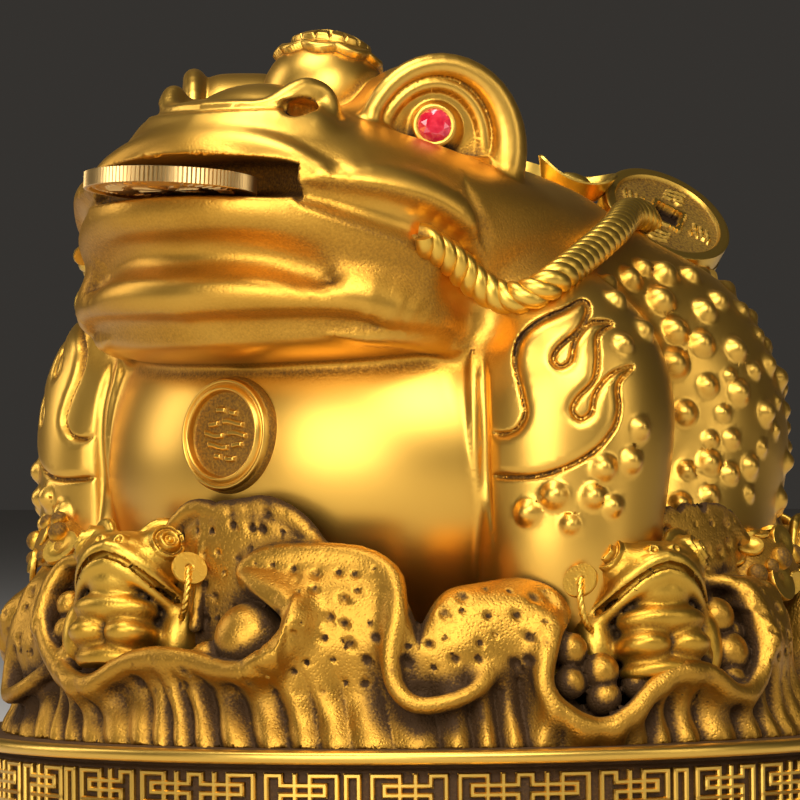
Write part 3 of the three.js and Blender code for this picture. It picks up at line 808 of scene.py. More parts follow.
# The wide leaf and the round leaf, each with its rim, seeds and middle; they take turns round the drum.
wide_rim = [(-29, 88, 41), (-33, 91.5, 39.5), (-34, 95, 33), (-31, 98, 26), (-26.5, 99.5, 19.5),
            (-19.5, 101, 14), (-14.5, 101, 13), (-9, 100, 17.6), (-3.7, 99, 19.6), (2.6, 99, 18.8),
            (8, 100.4, 16.8), (12, 101.2, 17.5), (16, 100.6, 22), (17, 98.5, 28.5), (14.5, 95, 32.8),
            (9.5, 91.5, 35.6), (7.3, 89, 38.6), (10, 88, 41.6), (17, 88, 42.6), (25, 88.6, 41.6),
            (29.6, 92, 37.6), (30.4, 96.6, 30), (29.7, 100, 20), (30.6, 101.4, 13), (33.5, 102.6, 9.4),
            (38.5, 102.2, 11), (42, 99, 15), (43.5, 94, 19)]
round_rim = [(34.5, 90, 24), (38.5, 87.5, 29.8), (45.5, 87.5, 34), (50.5, 89, 33.8), (52.8, 92.5, 29.5),
             (50.6, 97, 23.9), (49.2, 100, 18), (49, 101.6, 13), (50.5, 102.8, 8), (53.4, 103.2, 4.6),
             (57, 103.3, 4), (60.3, 103.2, 7.1), (64, 102.4, 12.8), (68, 102, 16), (72.5, 102, 14.6),
             (76, 102, 10.8), (79.4, 101.4, 10.2), (82.4, 100, 14), (84.6, 98, 22), (85.2, 95, 29),
             (83.4, 91, 34.4), (81, 87, 35)]
wide_seeds = [(-27.6, 93.5, 30.4, 3.3), (-26.8, 94.5, 24.4, 3.6), (-23.2, 96, 18.4, 4.3),
              (-18.4, 95, 16.6, 3.4), (9, 91.5, 23.4, 8.4), (3.4, 95, 19, 4.2), (-12.5, 96, 15.5, 2.4)]
round_seeds = [(53.6, 95, 20.8, 4.0), (53.1, 97, 13.6, 3.7), (57.6, 96.5, 16, 4.2), (57.8, 97.5, 10.2, 4.0),
               (63, 96.5, 13, 3.6), (80, 93.5, 18.6, 5.4), (79, 91.5, 27, 4.6), (73, 95, 18.6, 4.4),
               (79, 96.5, 12.9, 3.5), (76, 89, 33, 3.4), (68, 95, 14.6, 3.8), (82.5, 91, 23, 3.2)]
leaf_lobe = [(-10, 84.5, 44), (-8, 85, 49), (-4.3, 84.5, 52.6), (0, 84, 52), (4, 83.6, 52.4),
             (8.7, 83.6, 53.4), (13, 84, 51), (16.4, 85, 47), (19, 86.5, 42)]
# The leaves round the drum: which of the two kinds, its turn and the scale of its height.
leaf_turns = ((0, 0, 1.0), (1, 0, 1.0), (0, 144, 0.94), (1, 144, 1.0), (0, 288, 0.97))
# Between the leaves the bed is this high, and it is open in the middle, under the toad.
bed_height = 15
bed_inner_radius = 61
lobe_shift = (0, 76)
lobe_middle = 4.5
round_lobe_scale = 0.93
# The humps that carry each kind: azimuth, width and height.
humps = (((-37, 6.5, 40), (18.5, 14.5, 43.5), (-9, 18, 36)), ((43, 10.5, 35), (88, 6, 36), (66, 16, 32)))
# The bowl in each kind: its middle as azimuth, radius and height, and its three half sizes.
bowls = (((-9.5, 90.5, 31.5), (37, 14.6, 20.5)), ((67, 91, 25), (27.5, 14.4, 20.5)))
# The stretch of each rim that crosses in front of its bowl, as azimuth, radius and height.
front_rims = (np.array(wide_rim[3:14]), np.array(round_rim[8:19]))
# The left end of each bowl, as height and azimuth.
left_ends = (np.array([(26, -31), (33, -34), (39.5, -33), (41, -29)]),
             np.array([(8, 50.5), (13, 49), (18, 49.2), (23.9, 50.6), (29.5, 52.8), (33.8, 50.5)]))


def polar(at):
    return np.degrees(np.arctan2(at[:, 0], -at[:, 1])), np.hypot(at[:, 0], at[:, 1])


def gap_between(azimuth, other):
    return (azimuth - other + 180) % 360 - 180


def local_to(at, azimuth):
    """Points seen from the drum's axis toward an azimuth: sideways, outward and up."""
    turn = math.radians(azimuth)
    return np.column_stack([at[:, 0] * math.cos(turn) + at[:, 1] * math.sin(turn),
                            at[:, 0] * math.sin(turn) - at[:, 1] * math.cos(turn), at[:, 2]])


def pits(azimuth, height, spacing=5.2):
    """Scattered round dents, one to a cell of a sheared grid."""
    u, v = azimuth * 1.65 / spacing + height / spacing * 0.35, height / spacing
    i, j = np.floor(u), np.floor(v)
    jig = np.sin(i * 12.99 + j * 78.23) * 43.7
    jog = np.sin(i * 39.34 + j * 11.13) * 57.1
    x = u - i - 0.5 - 0.26 * np.sin(jig)
    y = v - j - 0.5 - 0.26 * np.sin(jog)
    size = 0.16 + 0.07 * np.sin(jig + jog)
    return np.exp(-(x * x + y * y) / (size * size))


rim_paths = []
lobe_paths = []
seed_places = []
for kind, turn, scale in leaf_turns:
    rim_paths.append(polar_path((wide_rim, round_rim)[kind], turn, 88 if kind == 0 else 72) * (1, 1, scale))
    lobe_scale = (1, 1, scale if kind == 0 else round_lobe_scale)
    lobe_paths.append(polar_path(leaf_lobe, turn + lobe_shift[kind], 26) * lobe_scale)
    for azimuth, radius, height, size in (wide_seeds, round_seeds)[kind]:
        seed_places.append((around([azimuth + turn], radius, height)[0], size))


def wall_radius(height):
    """The leaves' outside: flared at the hem, drawn in above it, and leaning in toward the top."""
    return 98.6 - 9.6 * (np.maximum(height, 0) / 40) ** 2 + 3.6 * np.exp(-(height / 5.5) ** 2)


def leaf_form(at):
    azimuth, radius = polar(at)
    height = at[:, 2]
    top = np.full(len(at), bed_height, np.float32)
    wall = wall_radius(height)
    for kind, turn, scale in leaf_turns:
        for number, (centre, width, rise) in enumerate(humps[kind]):
            share = np.exp(-(np.abs(gap_between(azimuth, centre + turn)) / width) ** 5)
            top = np.maximum(top, bed_height + (rise * scale - bed_height) * share)
            if number < 2:
                wall = wall + 3.4 * share * ease(height, 10, 24) * ease(-height, -46, -34)
    front = []
    for kind, turn, scale in leaf_turns:
        gap = gap_between(azimuth, turn)
        rim = front_rims[kind]
        rim_height = np.interp(gap, rim[:, 0], rim[:, 2] * scale)
        rim_radius = np.interp(gap, rim[:, 0], rim[:, 1])
        share = ease(gap, rim[0, 0] - 4, rim[0, 0]) * ease(-gap, -rim[-1, 0] - 4, -rim[-1, 0])
        flare = np.maximum(rim_radius + 0.2 - wall_radius(rim_height), 0)
        wall = wall + share * flare * np.exp(-((rim_height - height) / 5) ** 2)
        front.append((gap, rim, rim_height, rim_radius))
    slant = 9 + 8 * np.sin(np.radians(azimuth * 2.5 + 127))
    phase = (azimuth * 42 + height * slant * 0.75 + 45 * np.sin(np.radians(azimuth * 7))
             + 30 * np.sin(np.radians(azimuth * 17)))
    fold = np.abs(np.sin(np.radians(phase))) ** 1.1
    strength = 2.2 + 0.7 * np.sin(np.radians(azimuth * 11))
    wall = wall + strength * (fold - 0.8) * ease(-height, -22, -6)
    wall = wall + 1.4 * np.sin(np.radians(phase * 0.5 + 40)) * ease(-height, -34, -14) * ease(height, 4, 12)
    wall = wall - 1.2 * pits(azimuth, height) * ease(height, 9, 17)
    sag = 1 - 0.45 * ease(84 - radius, 0, 20)
    body = carve(radius - wall, top * sag - height, 5)
    for number, (kind, turn, scale) in enumerate(leaf_turns):
        (centre, out, up), (half, deep, tall) = bowls[kind]
        gap, rim, rim_height, rim_radius = front[number]
        near = (gap > rim[0, 0] - 6) & (gap < rim[-1, 0] + 4) & (radius > 62)
        if not near.any():
            continue
        local = local_to(at[near], centre + turn)
        local[:, 1] += local[:, 0] ** 2 / 2 / out
        bowl = egg(local, (0, out, up * scale), (half, deep, tall), 2.4)
        fold_edge = rim[-1, 0] - 0.5 - np.maximum(height[near] - 28 * scale, 0) * 0.85
        left_end = np.interp(height[near], left_ends[kind][:, 0] * scale, left_ends[kind][:, 1])
        side_ends = np.maximum(gap[near] - fold_edge, left_end - gap[near]) * 1.6
        bowl = np.maximum(bowl, side_ends)
        inside = np.maximum(bowl, radius[near] - wall[near] + 3.2)
        shell = np.minimum(rim_radius[near] - 7, wall[near] - 5)
        over_rim = np.maximum(np.maximum(rim_height[near] - height[near], shell - radius[near]), bowl - 7)
        over_rim = np.maximum(over_rim, side_ends)
        body[near] = carve(carve(body[near], inside, 2), over_rim, 1.5)
    for path in rim_paths:
        body = blend(body, bar(at, path, (1.6, 2.2, 2.3, 2.2, 2.2, 2.3, 2.2, 2.0, 1.6)), 4.2)
    for (kind, turn, scale), path in zip(leaf_turns, lobe_paths):
        centre = lobe_middle + turn + lobe_shift[kind]
        near = np.abs(gap_between(azimuth, centre)) < 26
        if near.any():
            local = local_to(at[near], centre)
            local[:, 1] += local[:, 0] ** 2 / 2 / 84
            lobe = egg(local, (0, 84.5, 34), (19.5, 2.6, 19), 3)
            lobe += 0.7 * pits(azimuth[near], height[near] + 2)
            body[near] = blend(body[near], lobe, 2)
        for share in (0.34, 0.72):
            head = path[int(share * (len(path) - 1))]
            foot = head * (1.05, 1.05, 0) + (0, 0, 26)
            body = blend(body, bar(at, np.array([head, foot]), (1.0, 1.5)), 1.0)
        body = blend(body, bar(at, path, (1.6, 1.9, 1.6)), 1.4)
    seeds = np.full(len(at), 9, np.float32)
    for middle, size in seed_places:
        near = np.abs(at - middle.astype(np.float32)).max(1) < size + 5
        if near.any():
            seeds[near] = np.minimum(seeds[near], ball(at[near], middle, size))
    return blend(body, seeds, 0.8)


def leaf_skin(at):
    """The leaves stand on the drum; under the toad there is nothing of them."""
    away = np.hypot(at[:, 0], at[:, 1])
    return np.maximum(np.maximum(leaf_form(at), -0.3 - at[:, 2]), bed_inner_radius - away)


def leaf_near(at):
    toward = at[:, 0] * 0.574 - at[:, 1] * 0.819
    return ease(toward, -10, 25)


def longest_leaf_edge(at):
    return 3.4 - 1.4 * leaf_near(at)


def shortest_leaf_edge(at):
    return 2.1 - 1.0 * leaf_near(at)


points, triangles, ways = cast_skin(
    spread(leaf_skin), (-108, -108, -2), (108, 108, 62), 2.0, longest_leaf_edge, shortest_leaf_edge,
    (0.26, 0.34))
leaves_and_toad = spread(lambda at: np.minimum(leaf_skin(at), smooth_toad(at)))
# How open each leaf point lies, counting the toad beside the leaves, so they darken under and beside it:
# painted shade with patina.
open_share = openness(leaves_and_toad, points, ways, hollow_reaches)
# The dimples and the foot of the wall are darkened further: painted shade low down and in the pits, with
# patina.
open_share -= 0.25 * pits(polar(points)[0], points[:, 2]) * ease(points[:, 2], 9, 17)
open_share -= 0.2 * ease(-points[:, 2], -26, -8)
leaves = placed_mesh("leaf_casting", points, triangles, ways=ways, marks={"open": open_share})
leaf_brass = brass_paint(
    "leaf_brass", (0.54, 0.28, 0.038, 1), (0.24, 0.1, 0.01, 1), (0.062, 0.026, 0.003, 1),
    1.0, 0.42, 0.12, 0.64, 0.6)
leaves.data.materials.append(leaf_brass)
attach(leaves, "root")
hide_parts("leaf_bed")

# A carved rope of three strands runs from each corner of the mouth over the shoulder to the coins behind.
# It is cast in brass with the toad, so it is stiff and lies fast on the skin.


class Growth(Nodes):
    """A Geometry Nodes tree with named inputs. It grows one plain mesh from a base."""

    def __init__(self, name, inputs):
        self.tree = bpy.data.node_groups.new(name, "GeometryNodeTree")
        sockets = self.tree.interface
        sockets.new_socket("Base", in_out="INPUT", socket_type="NodeSocketGeometry")
        sockets.new_socket("Grown", in_out="OUTPUT", socket_type="NodeSocketGeometry")
        self.labels = {}
        for label, kind in inputs.items():
            self.labels[label] = sockets.new_socket(label, in_out="INPUT", socket_type=kind).identifier
        self.entry = self.tree.nodes.new("NodeGroupInput")

    def given(self, label):
        return Wire(self, self.entry.outputs[label])

    def close(self, grown, material):
        whole = self.node("GeometryNodeRealizeInstances", {}, {"Geometry": grown})
        painted = self.node("GeometryNodeSetMaterial", {}, {"Geometry": whole, "Material": material})
        leave = self.tree.nodes.new("NodeGroupOutput")
        self.feed(leave.inputs[0], painted)

    def grow(self, name, base, values):
        """The tree is run once on the base, and its result is kept as a plain mesh."""
        seed = bpy.data.objects.new(name + "_base", base)
        bpy.context.scene.collection.objects.link(seed)
        modifier = seed.modifiers.new(name, "NODES")
        modifier.node_group = self.tree
        for label, value in values.items():
            modifier[self.labels[label]] = value
        mesh = bpy.data.meshes.new_from_object(seed.evaluated_get(bpy.context.evaluated_depsgraph_get()))
        bpy.data.objects.remove(seed)
        piece = bpy.data.objects.new(name, mesh)
        bpy.context.scene.collection.objects.link(piece)
        return piece


rope_radius = 3.9
strand_radius = 2.15
rope_turn = 11.0
rope_seen = drawn_on(smooth_toad, [(-2.9, 115.5), (4.8, 110.3), (11.9, 104.8), (20.3, 100.5), (27.4, 102.4),
                                   (33.4, 107.2), (40.5, 114.3), (46.5, 120.3)], 40)
rope_out = slope(smooth_toad, rope_seen.astype(np.float32))[1]
rope_out = rope_out / np.linalg.norm(rope_out, axis=1)[:, None]
rope_front = rope_seen + rope_out * np.linspace(1.0, 2.8, 40)[:, None]
rope_route = np.vstack([rope_front[::5], [(47.5, 14, 120.4), (44, 26, 120), (38, 40, 114.5)]])
rope_brass = brass_paint(
    "rope_brass", (0.85, 0.52, 0.08, 1), (0.6, 0.3, 0.028, 1), (0.055, 0.022, 0.004, 1), 0.6, 0.36, 0.42, 0.9)
rope_tree = Growth("twisted_rope", {"Strand radius": "NodeSocketFloat", "Rope radius": "NodeSocketFloat",
                                    "Turn length": "NodeSocketFloat", "Strands": "NodeSocketInt"})
even = rope_tree.node("GeometryNodeResampleCurve", {"mode": "LENGTH"},
                      {"Curve": rope_tree.given("Base"), "Length": 0.0007})
copies = rope_tree.node("GeometryNodeDuplicateElements", {"domain": "SPLINE"},
                        {"Geometry": even, "Amount": rope_tree.given("Strands")})
copy_number = copies.beside("Duplicate Index")
travelled = rope_tree.node("GeometryNodeSplineParameter", {}, {}, "Length")
turns_made = travelled / rope_tree.given("Turn length") + copy_number / rope_tree.given("Strands")
twist = turns_made * (2 * math.pi)
facing = rope_tree.node("GeometryNodeInputNormal", {}, {})
heading = rope_tree.node("GeometryNodeInputTangent", {}, {})
beside = rope_tree.node("ShaderNodeVectorMath", {"operation": "CROSS_PRODUCT"}, {0: heading, 1: facing})
arm = rope_tree.given("Rope radius") - rope_tree.given("Strand radius")
cosine = rope_tree.node("ShaderNodeVectorMath", {"operation": "SCALE"},
                        {0: facing, "Scale": twist.math("COSINE", twist) * arm})
sine = rope_tree.node("ShaderNodeVectorMath", {"operation": "SCALE"},
                      {0: beside, "Scale": twist.math("SINE", twist) * arm})
away = rope_tree.node("ShaderNodeVectorMath", {"operation": "ADD"}, {0: cosine, 1: sine})
strands = rope_tree.node("GeometryNodeSetPosition", {}, {"Geometry": copies, "Offset": away})
round_section = rope_tree.node("GeometryNodeCurvePrimitiveCircle", {"mode": "RADIUS"},
                               {"Resolution": 12, "Radius": rope_tree.given("Strand radius")})
tubes = rope_tree.node("GeometryNodeCurveToMesh", {},
                       {"Curve": strands, "Profile Curve": round_section, "Fill Caps": True})
rope_tree.close(rope_tree.node("GeometryNodeSetShadeSmooth", {}, {0: tubes}), rope_brass)


def curve_through(name, routes, lift=drum_top):
    """A curve with one strand for each route, in millimetres above the drum's top."""
    curve = bpy.data.curves.new(name, "CURVE")
    curve.dimensions = "3D"
    for route in routes:
        spline = curve.splines.new("POLY")
        spline.points.add(len(route) - 1)
        for spot, (x, y, z) in zip(spline.points, route):
            spot.co = (x * mm, y * mm, z * mm + lift, 1)
    return curve


def mark_by_path(piece, path, lift=drum_top):
    """The rope's strands lie open on its outside and closed toward its middle, where the paint lays painted
    shade between the strands, with patina.
    """
    mesh = piece.data
    spots = np.zeros(len(mesh.vertices) * 3, np.float32)
    mesh.vertices.foreach_get("co", spots)
    spots = (spots.reshape(-1, 3) - np.array((0, 0, lift))) / mm
    reach = bar(spots.astype(np.float32), path, 0.01) + 0.01
    mark_points(mesh, "open", 0.35 + 0.65 * ease(reach, rope_radius * 0.62, rope_radius * 1.02))


for side_name, mirror in (("left", 1), ("right", -1)):
    route = smooth_path(rope_route, 120) * (mirror, 1, 1)
    rope = rope_tree.grow("carved_rope_" + side_name, curve_through("rope_route_" + side_name, [route]),
                          {"Strand radius": strand_radius * mm, "Rope radius": rope_radius * mm,
                           "Turn length": rope_turn * mm, "Strands": 3})
    mark_by_path(rope, route)
    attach(rope, "root")
    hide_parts("toad")

# Coins with square holes and small ingots lie on the toad's back, where the rope strings them.
# They are cast in brass with the toad.


def ring(reach, turn, height):
    """Points round the z axis."""
    return np.column_stack([reach * np.cos(turn), reach * np.sin(turn), height * np.ones(len(turn))])


def band(rows, sides, rising=True):
    """Triangles between rings of points that follow each other: rising or falling, seen from outside."""
    row, column = np.meshgrid(np.arange(rows - 1), np.arange(sides), indexing="ij")
    a = (row * sides + column).ravel()
    b = (row * sides + (column + 1) % sides).ravel()
    quads = np.column_stack([a, b, b + sides, a + sides] if rising else [a, a + sides, b + sides, b])
    return np.vstack([quads[:, [0, 1, 2]], quads[:, [0, 2, 3]]])


def fan(hub, first, sides, upward=True):
    """Triangles from a middle point to the ring that starts at the first point."""
    spin = np.arange(sides)
    near, far = first + spin, first + (spin + 1) % sides
    return np.column_stack([np.full(sides, hub), near, far] if upward else [np.full(sides, hub), far, near])


def coin_form(radius, thickness, relief, rings, sides, reeds=0, reed_depth=0.0):
    """A coin round the z axis. Both faces carry a relief by radius and turn, and its edge may be reeded."""
    half = thickness / 2
    radii = np.concatenate([np.linspace(0.02, 0.985, rings), [1.0]]) * radius
    turn = np.linspace(0, 2 * math.pi, sides, endpoint=False)
    rows = []
    openness_rows = []
    for face in (-1, 1):
        order = radii if face < 0 else radii[::-1]
        for reach in order:
            rise = relief(reach / radius, turn * face)
            height = face * (half - 0.12 * (reach >= radius * 0.999) + rise * (reach < radius * 0.97))
            edge = reach + (reed_depth * np.cos(turn * reeds) if reach >= radius * 0.98 and reeds else 0)
            rows.append(ring(edge, turn, height))
            # Sunk places of the relief are marked less open, so they darken: painted shade in them, with
            # patina.
            openness_rows.append(np.clip(0.9 + 0.45 * rise, 0.15, 1) * np.ones(sides))
    points = np.vstack(rows)
    last = (len(rows) - 1) * sides
    points = np.vstack([points, [[0, 0, points[0, 2]], [0, 0, points[last, 2]]]])
    triangles = np.vstack([band(len(rows), sides), fan(len(points) - 2, 0, sides, upward=False),
                           fan(len(points) - 1, last, sides)])
    marks = np.concatenate([np.concatenate(openness_rows), [0.8, 0.8]])
    return points, triangles, marks


def turned_to(normal, spin=0.0):
    """The turn that carries +z to the normal, after a spin about it."""
    tip = Vector((0, 0, 1)).rotation_difference(Vector(normal))
    return np.array((tip @ Matrix.Rotation(spin, 3, "Z").to_quaternion()).to_matrix())


def cash_relief(reach, turn):
    """A raised border, a square hole with a lip, and four groups of strokes round it."""
    x, y = reach * np.cos(turn), reach * np.sin(turn)
    square = np.maximum(np.abs(x), np.abs(y))
    rise = np.where(reach > 0.84, 0.0, -1.0)
    rise = np.where(square < 0.27, -0.2, rise)
    rise = np.where(square < 0.2, -2.6, rise)
    quarter = np.round(turn / (math.pi / 2)) * (math.pi / 2)
    out = x * np.cos(quarter) + y * np.sin(quarter) - 0.56
    aside = -x * np.sin(quarter) + y * np.cos(quarter)
    stroke = (np.abs(out) < 0.17) & (np.abs(aside) < 0.16) & (np.mod(out * 16 + aside * 5, 1.6) < 0.75)
    return np.where(stroke, -0.25, rise)


def merged(forms):
    """Several sets of points, triangles and marks as one."""
    points, triangles, marks = [], [], []
    count = 0
    for some_points, some_triangles, some_marks in forms:
        points.append(some_points)
        triangles.append(some_triangles + count)
        marks.append(some_marks)
        count += len(some_points)
    return np.vstack(points), np.vstack(triangles), np.concatenate(marks)


def moved(form, place, turn):
    return form[0] @ turn.T + np.array(place), form[1], form[2]


def ingot_form(length, sides=40):
    """A boat-shaped ingot: raised ends, a waist and a dome in the middle."""
    turn = np.linspace(0, 2 * math.pi, sides, endpoint=False)
    rows, marks = [], []
    profile = [(0.02, -0.26), (0.5, -0.26), (0.66, -0.22), (0.8, -0.05), (0.98, 0.12), (1.02, 0.16),
               (0.97, 0.2), (0.88, 0.17), (0.7, 0.05), (0.52, 0.04), (0.46, 0.12), (0.4, 0.2), (0.25, 0.28),
               (0.02, 0.31)]
    for reach, height in profile:
        ends = np.abs(np.cos(turn)) ** 2.2
        rise = height + 0.34 * ends * ease(np.array(height), -0.1, 0.16) * ease(np.array(reach), 0.5, 0.9)
        rows.append(np.column_stack([reach * length / 2 * np.cos(turn),
                                     reach * length / 2 * 0.55 * np.sin(turn), rise * length / 2]))
        # The waist between the raised ends is marked less open: painted shade there, with patina.
        marks.append(np.full(sides, 0.45 if 0.5 < reach < 0.75 and height > 0 else 1.0))
    return np.vstack(rows), band(len(rows), sides), np.concatenate(marks)


back_coin = coin_form(16.3, 5.2, cash_relief, 30, 96)
lesser_coin = coin_form(12.5, 3.6, cash_relief, 24, 72)
treasure = []
for mirror in (1, -1):
    for form, place, normal, spin in (
            (back_coin, (43, 36.6, 119.6), (0.66, -0.24, 0.71), 0.5),
            (back_coin, (39.4, 38.2, 115.4), (0.62, -0.1, 0.77), 1.2),
            (lesser_coin, (48.4, 48.7, 101.2), (0.78, 0.36, 0.5), 0.2),
            (lesser_coin, (25.2, 59.9, 96.3), (0.3, 0.75, 0.6), 0.7),
            (ingot_form(20), (28.7, 19, 128), (0.3, 0.05, 0.95), 0.9),
            (ingot_form(18), (13.8, 46, 118.8), (0.1, 0.4, 0.9), 0.1)):
        turn = turned_to((normal[0] * mirror, normal[1], normal[2]), spin * mirror)
        treasure.append(moved(form, (place[0] * mirror, place[1], place[2]), turn))
treasure.append(moved(back_coin, (0, 35, 128.4), turned_to((0, 0.35, 0.93), 0.3)))
points, triangles, marks = merged(treasure)
back_treasure = placed_mesh("back_treasure", points, triangles, marks={"open": marks})
back_treasure.data.set_sharp_from_angle(angle=math.radians(38))
back_treasure.data.materials.append(brass_paint(
    "treasure_brass", (0.8, 0.5, 0.09, 1), (0.5, 0.25, 0.025, 1), (0.04, 0.017, 0.004, 1),
    1.0, 0.34, 0.3, 0.75))
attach(back_treasure, "root")
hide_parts("toad")

# A small toad sits in each leaf: ringed eyes, a wide mouth, a throat in rolls, and a coin on a short cord.
# All of it is cast in brass with the leaf bed.


def small_form(at):
    """One small toad in its own frame: it faces -y, and stands on z = 0."""
    side = mirrored(at)
    body = egg(at, (0, 4, 9), (13, 13, 12))
    head = egg(at, (0, -4, 18.5), (12.6, 13.4, 6.8), 2.4)
    body = blend(body, head, 3)
    for middle, radii in (((0, -11.6, 13.8), (6.4, 5.2, 3.8)), ((0, -10.8, 8.4), (9.4, 6.4, 3.5)),
                          ((0, -8.6, -1.4), (9, 6.6, 3.4))):
        body = blend(body, egg(at, middle, radii), 1.5)
    body = blend(body, egg(side, (4.3, -10.2, 3.5), (5.6, 6.6, 3.3)), 1.3)
    body = blend(body, egg(side, (12, -3.5, 5), (4.2, 5.5, 8)), 1.5)
    body = blend(body, egg(side, (12.6, 7, 7), (5, 7.5, 9)), 1.5)
    mouth = smooth_path(
        [(0, -17.2, 18.4), (3.6, -16.4, 17.4), (7.2, -13.8, 15), (10.6, -9.4, 12), (13.2, -3.8, 9.2)], 16)
    body = blend(body, bar(side, mouth + (0, 0, 1.5), (1.2, 1.2, 1.1)), 1.4)
    body = blend(body, bar(side, mouth + (0, 0.4, -1.5), (1.1, 1.1, 1.0)), 1.4)
    body = carve(body, bar(side, mouth, (0.95, 0.95, 0.8)), 0.5)
    eye = (7.8, -8.6, 21.4)
    body = blend(body, ball(side, eye, 4.8), 1.2)
    way = np.array((0.72, -0.62, 0.32), np.float32)
    away = side - np.array(eye, np.float32)
    ahead = away @ way
    round_eye = np.sqrt(np.maximum((away ** 2).sum(1) - ahead ** 2, 0))
    body = body + np.where(ahead > 0, 0.42 * np.cos(round_eye * 2 * math.pi / 1.75 + 3.1)
                           * ease(-round_eye, -4.3, -3.6), 0)
    brow = smooth_path([(3, -10.8, 23.8), (6, -8.8, 26.6), (10, -5.8, 26.2), (12.6, -3.2, 22)], 10)
    body = blend(body, bar(side, brow, (0.8, 1.3, 0.8)), 0.6)
    body = blend(body, ball(side, (2.2, -15.6, 21.6), 1.4), 0.8)
    body = carve(body, ball(side, (2.5, -17, 21.8), 0.7), 0.3)
    for x, y, z, size in ((2.5, 1, 24.6, 1.3), (6.5, 3.5, 22, 1.4), (2.2, 6.5, 21.4, 1.5), (7.5, 9, 18, 1.4),
                          (3, 12.5, 16.5, 1.3), (11.5, 6, 15.6, 1.1)):
        body = blend(body, ball(side, (x, y, z), size), 0.6)
    return body


def small_skin(at):
    return np.maximum(small_form(at), -3 - at[:, 2])


small_field = spread(small_skin)
small_points, small_triangles, small_ways = cast_skin(
    small_field, (-20, -22, -5), (20, 22, 30), 1.2, lambda at: np.full(len(at), 1.5),
    lambda at: 0.55 + 0.7 * ease(at[:, 1], 0, 10), (0.26, 0.36))
# How open each point of the small toad lies; the paint darkens its creases with painted shade and patina.
small_open = openness(small_field, small_points, small_ways, (0.8, 2.0, 4.5))

# The small toads' places: azimuth, radius, height, facing, pitch, and the side where the coin hangs.
small_places = ((-15.5, 86, 17.5, 4, 14, 1), (67.5, 87, 14.5, 60, 14, -1), (135, 86, 16.5, 140, 14, 1),
                (211, 86, 14.5, 206, 14, -1), (277, 86, 17, 284, 14, 1))
small_scale = 1.13
hung_coin = coin_form(
    4.1, 1.0, lambda reach, turn: np.where(reach < 0.2, -0.3, 0.0) * np.ones_like(turn), 12, 36)
all_points, all_triangles, all_ways, all_open = [], [], [], []
extras = []
cords = []
count = 0
for azimuth, radius, height, facing, pitch, coin_side in small_places:
    turn = Matrix.Rotation(math.radians(facing), 3, "Z") @ Matrix.Rotation(math.radians(-pitch), 3, "X")
    turn = np.array(turn)
    place = around([azimuth], radius, height)[0]
    all_points.append(small_points @ turn.T * small_scale + place)
    all_ways.append(small_ways @ turn.T)
    all_open.append(small_open)
    all_triangles.append(small_triangles + count)
    count += len(small_points)
    coin_turn = turn @ turned_to((coin_side * 0.7, -0.62, 0.35))
    coin_middle = turn @ np.array((coin_side * 17.4, -12.6, 16.6)) * small_scale + place
    extras.append(moved(hung_coin, coin_middle, coin_turn))
    cord = smooth_path(
        [(12.6, -5, 9.4), (14.6, -9, 7.6), (17.6, -12.8, 8.6), (18.8, -14.4, 12.6), (17.6, -13.2, 16.8)], 24)
    cords.append(cord * (coin_side, 1, 1) @ turn.T * small_scale + place)
small_toads = placed_mesh(
    "small_toads", np.vstack(all_points), np.vstack(all_triangles), ways=np.vstack(all_ways),
    marks={"open": np.concatenate(all_open)})
small_brass = brass_paint(
    "small_toad_brass", (0.76, 0.45, 0.065, 1), (0.46, 0.22, 0.018, 1), (0.055, 0.026, 0.005, 1),
    0.8, 0.38, 0.5, 0.98, 0.3)
small_toads.data.materials.append(small_brass)
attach(small_toads, "root")
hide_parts("leaf_bed")
points, triangles, marks = merged(extras)
hung_coins = placed_mesh("hung_coins", points, triangles, marks={"open": marks})
hung_coins.data.set_sharp_from_angle(angle=math.radians(38))
hung_coins.data.materials.append(small_brass)
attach(hung_coins, "root")
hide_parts("leaf_bed")
small_cords = rope_tree.grow("small_cords", curve_through("cord_routes", cords), {
    "Strand radius": 0.55 * mm, "Rope radius": 0.85 * mm, "Turn length": 3.6 * mm, "Strands": 2})
mark_points(small_cords.data, "open", np.full(len(small_cords.data.vertices), 0.85))
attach(small_cords, "root")
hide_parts("leaf_bed")

# Heaps of coins and beads lie between the leaves round the toad, and under the coins on its back.
# They are cast in brass with the leaf bed and with the toad. A mound is an azimuth, a radius, the height of
# its foot and three half sizes.
heap_mounds = (
    (-53, 87, 39, 20, 8, 12), (98, 85, 33, 15, 8, 13), (178, 85, 34, 16, 8, 10), (242, 84, 34, 14, 8, 9))
back_mounds = ((133, 55, 102, 14, 14, 14), (-133, 55, 102, 14, 14, 14), (180, 42, 117, 14, 15, 8))
heap_coin = coin_form(
    3.9, 1.2, lambda reach, turn: np.where(reach < 0.3, -0.5, 0.0) * np.ones_like(turn), 5, 24)
heap_coin_mesh = placed_mesh("heap_coin", heap_coin[0], heap_coin[1], lift=0.0, marks={"open": heap_coin[2]})
heap_coin_mesh.data.set_sharp_from_angle(angle=math.radians(38))


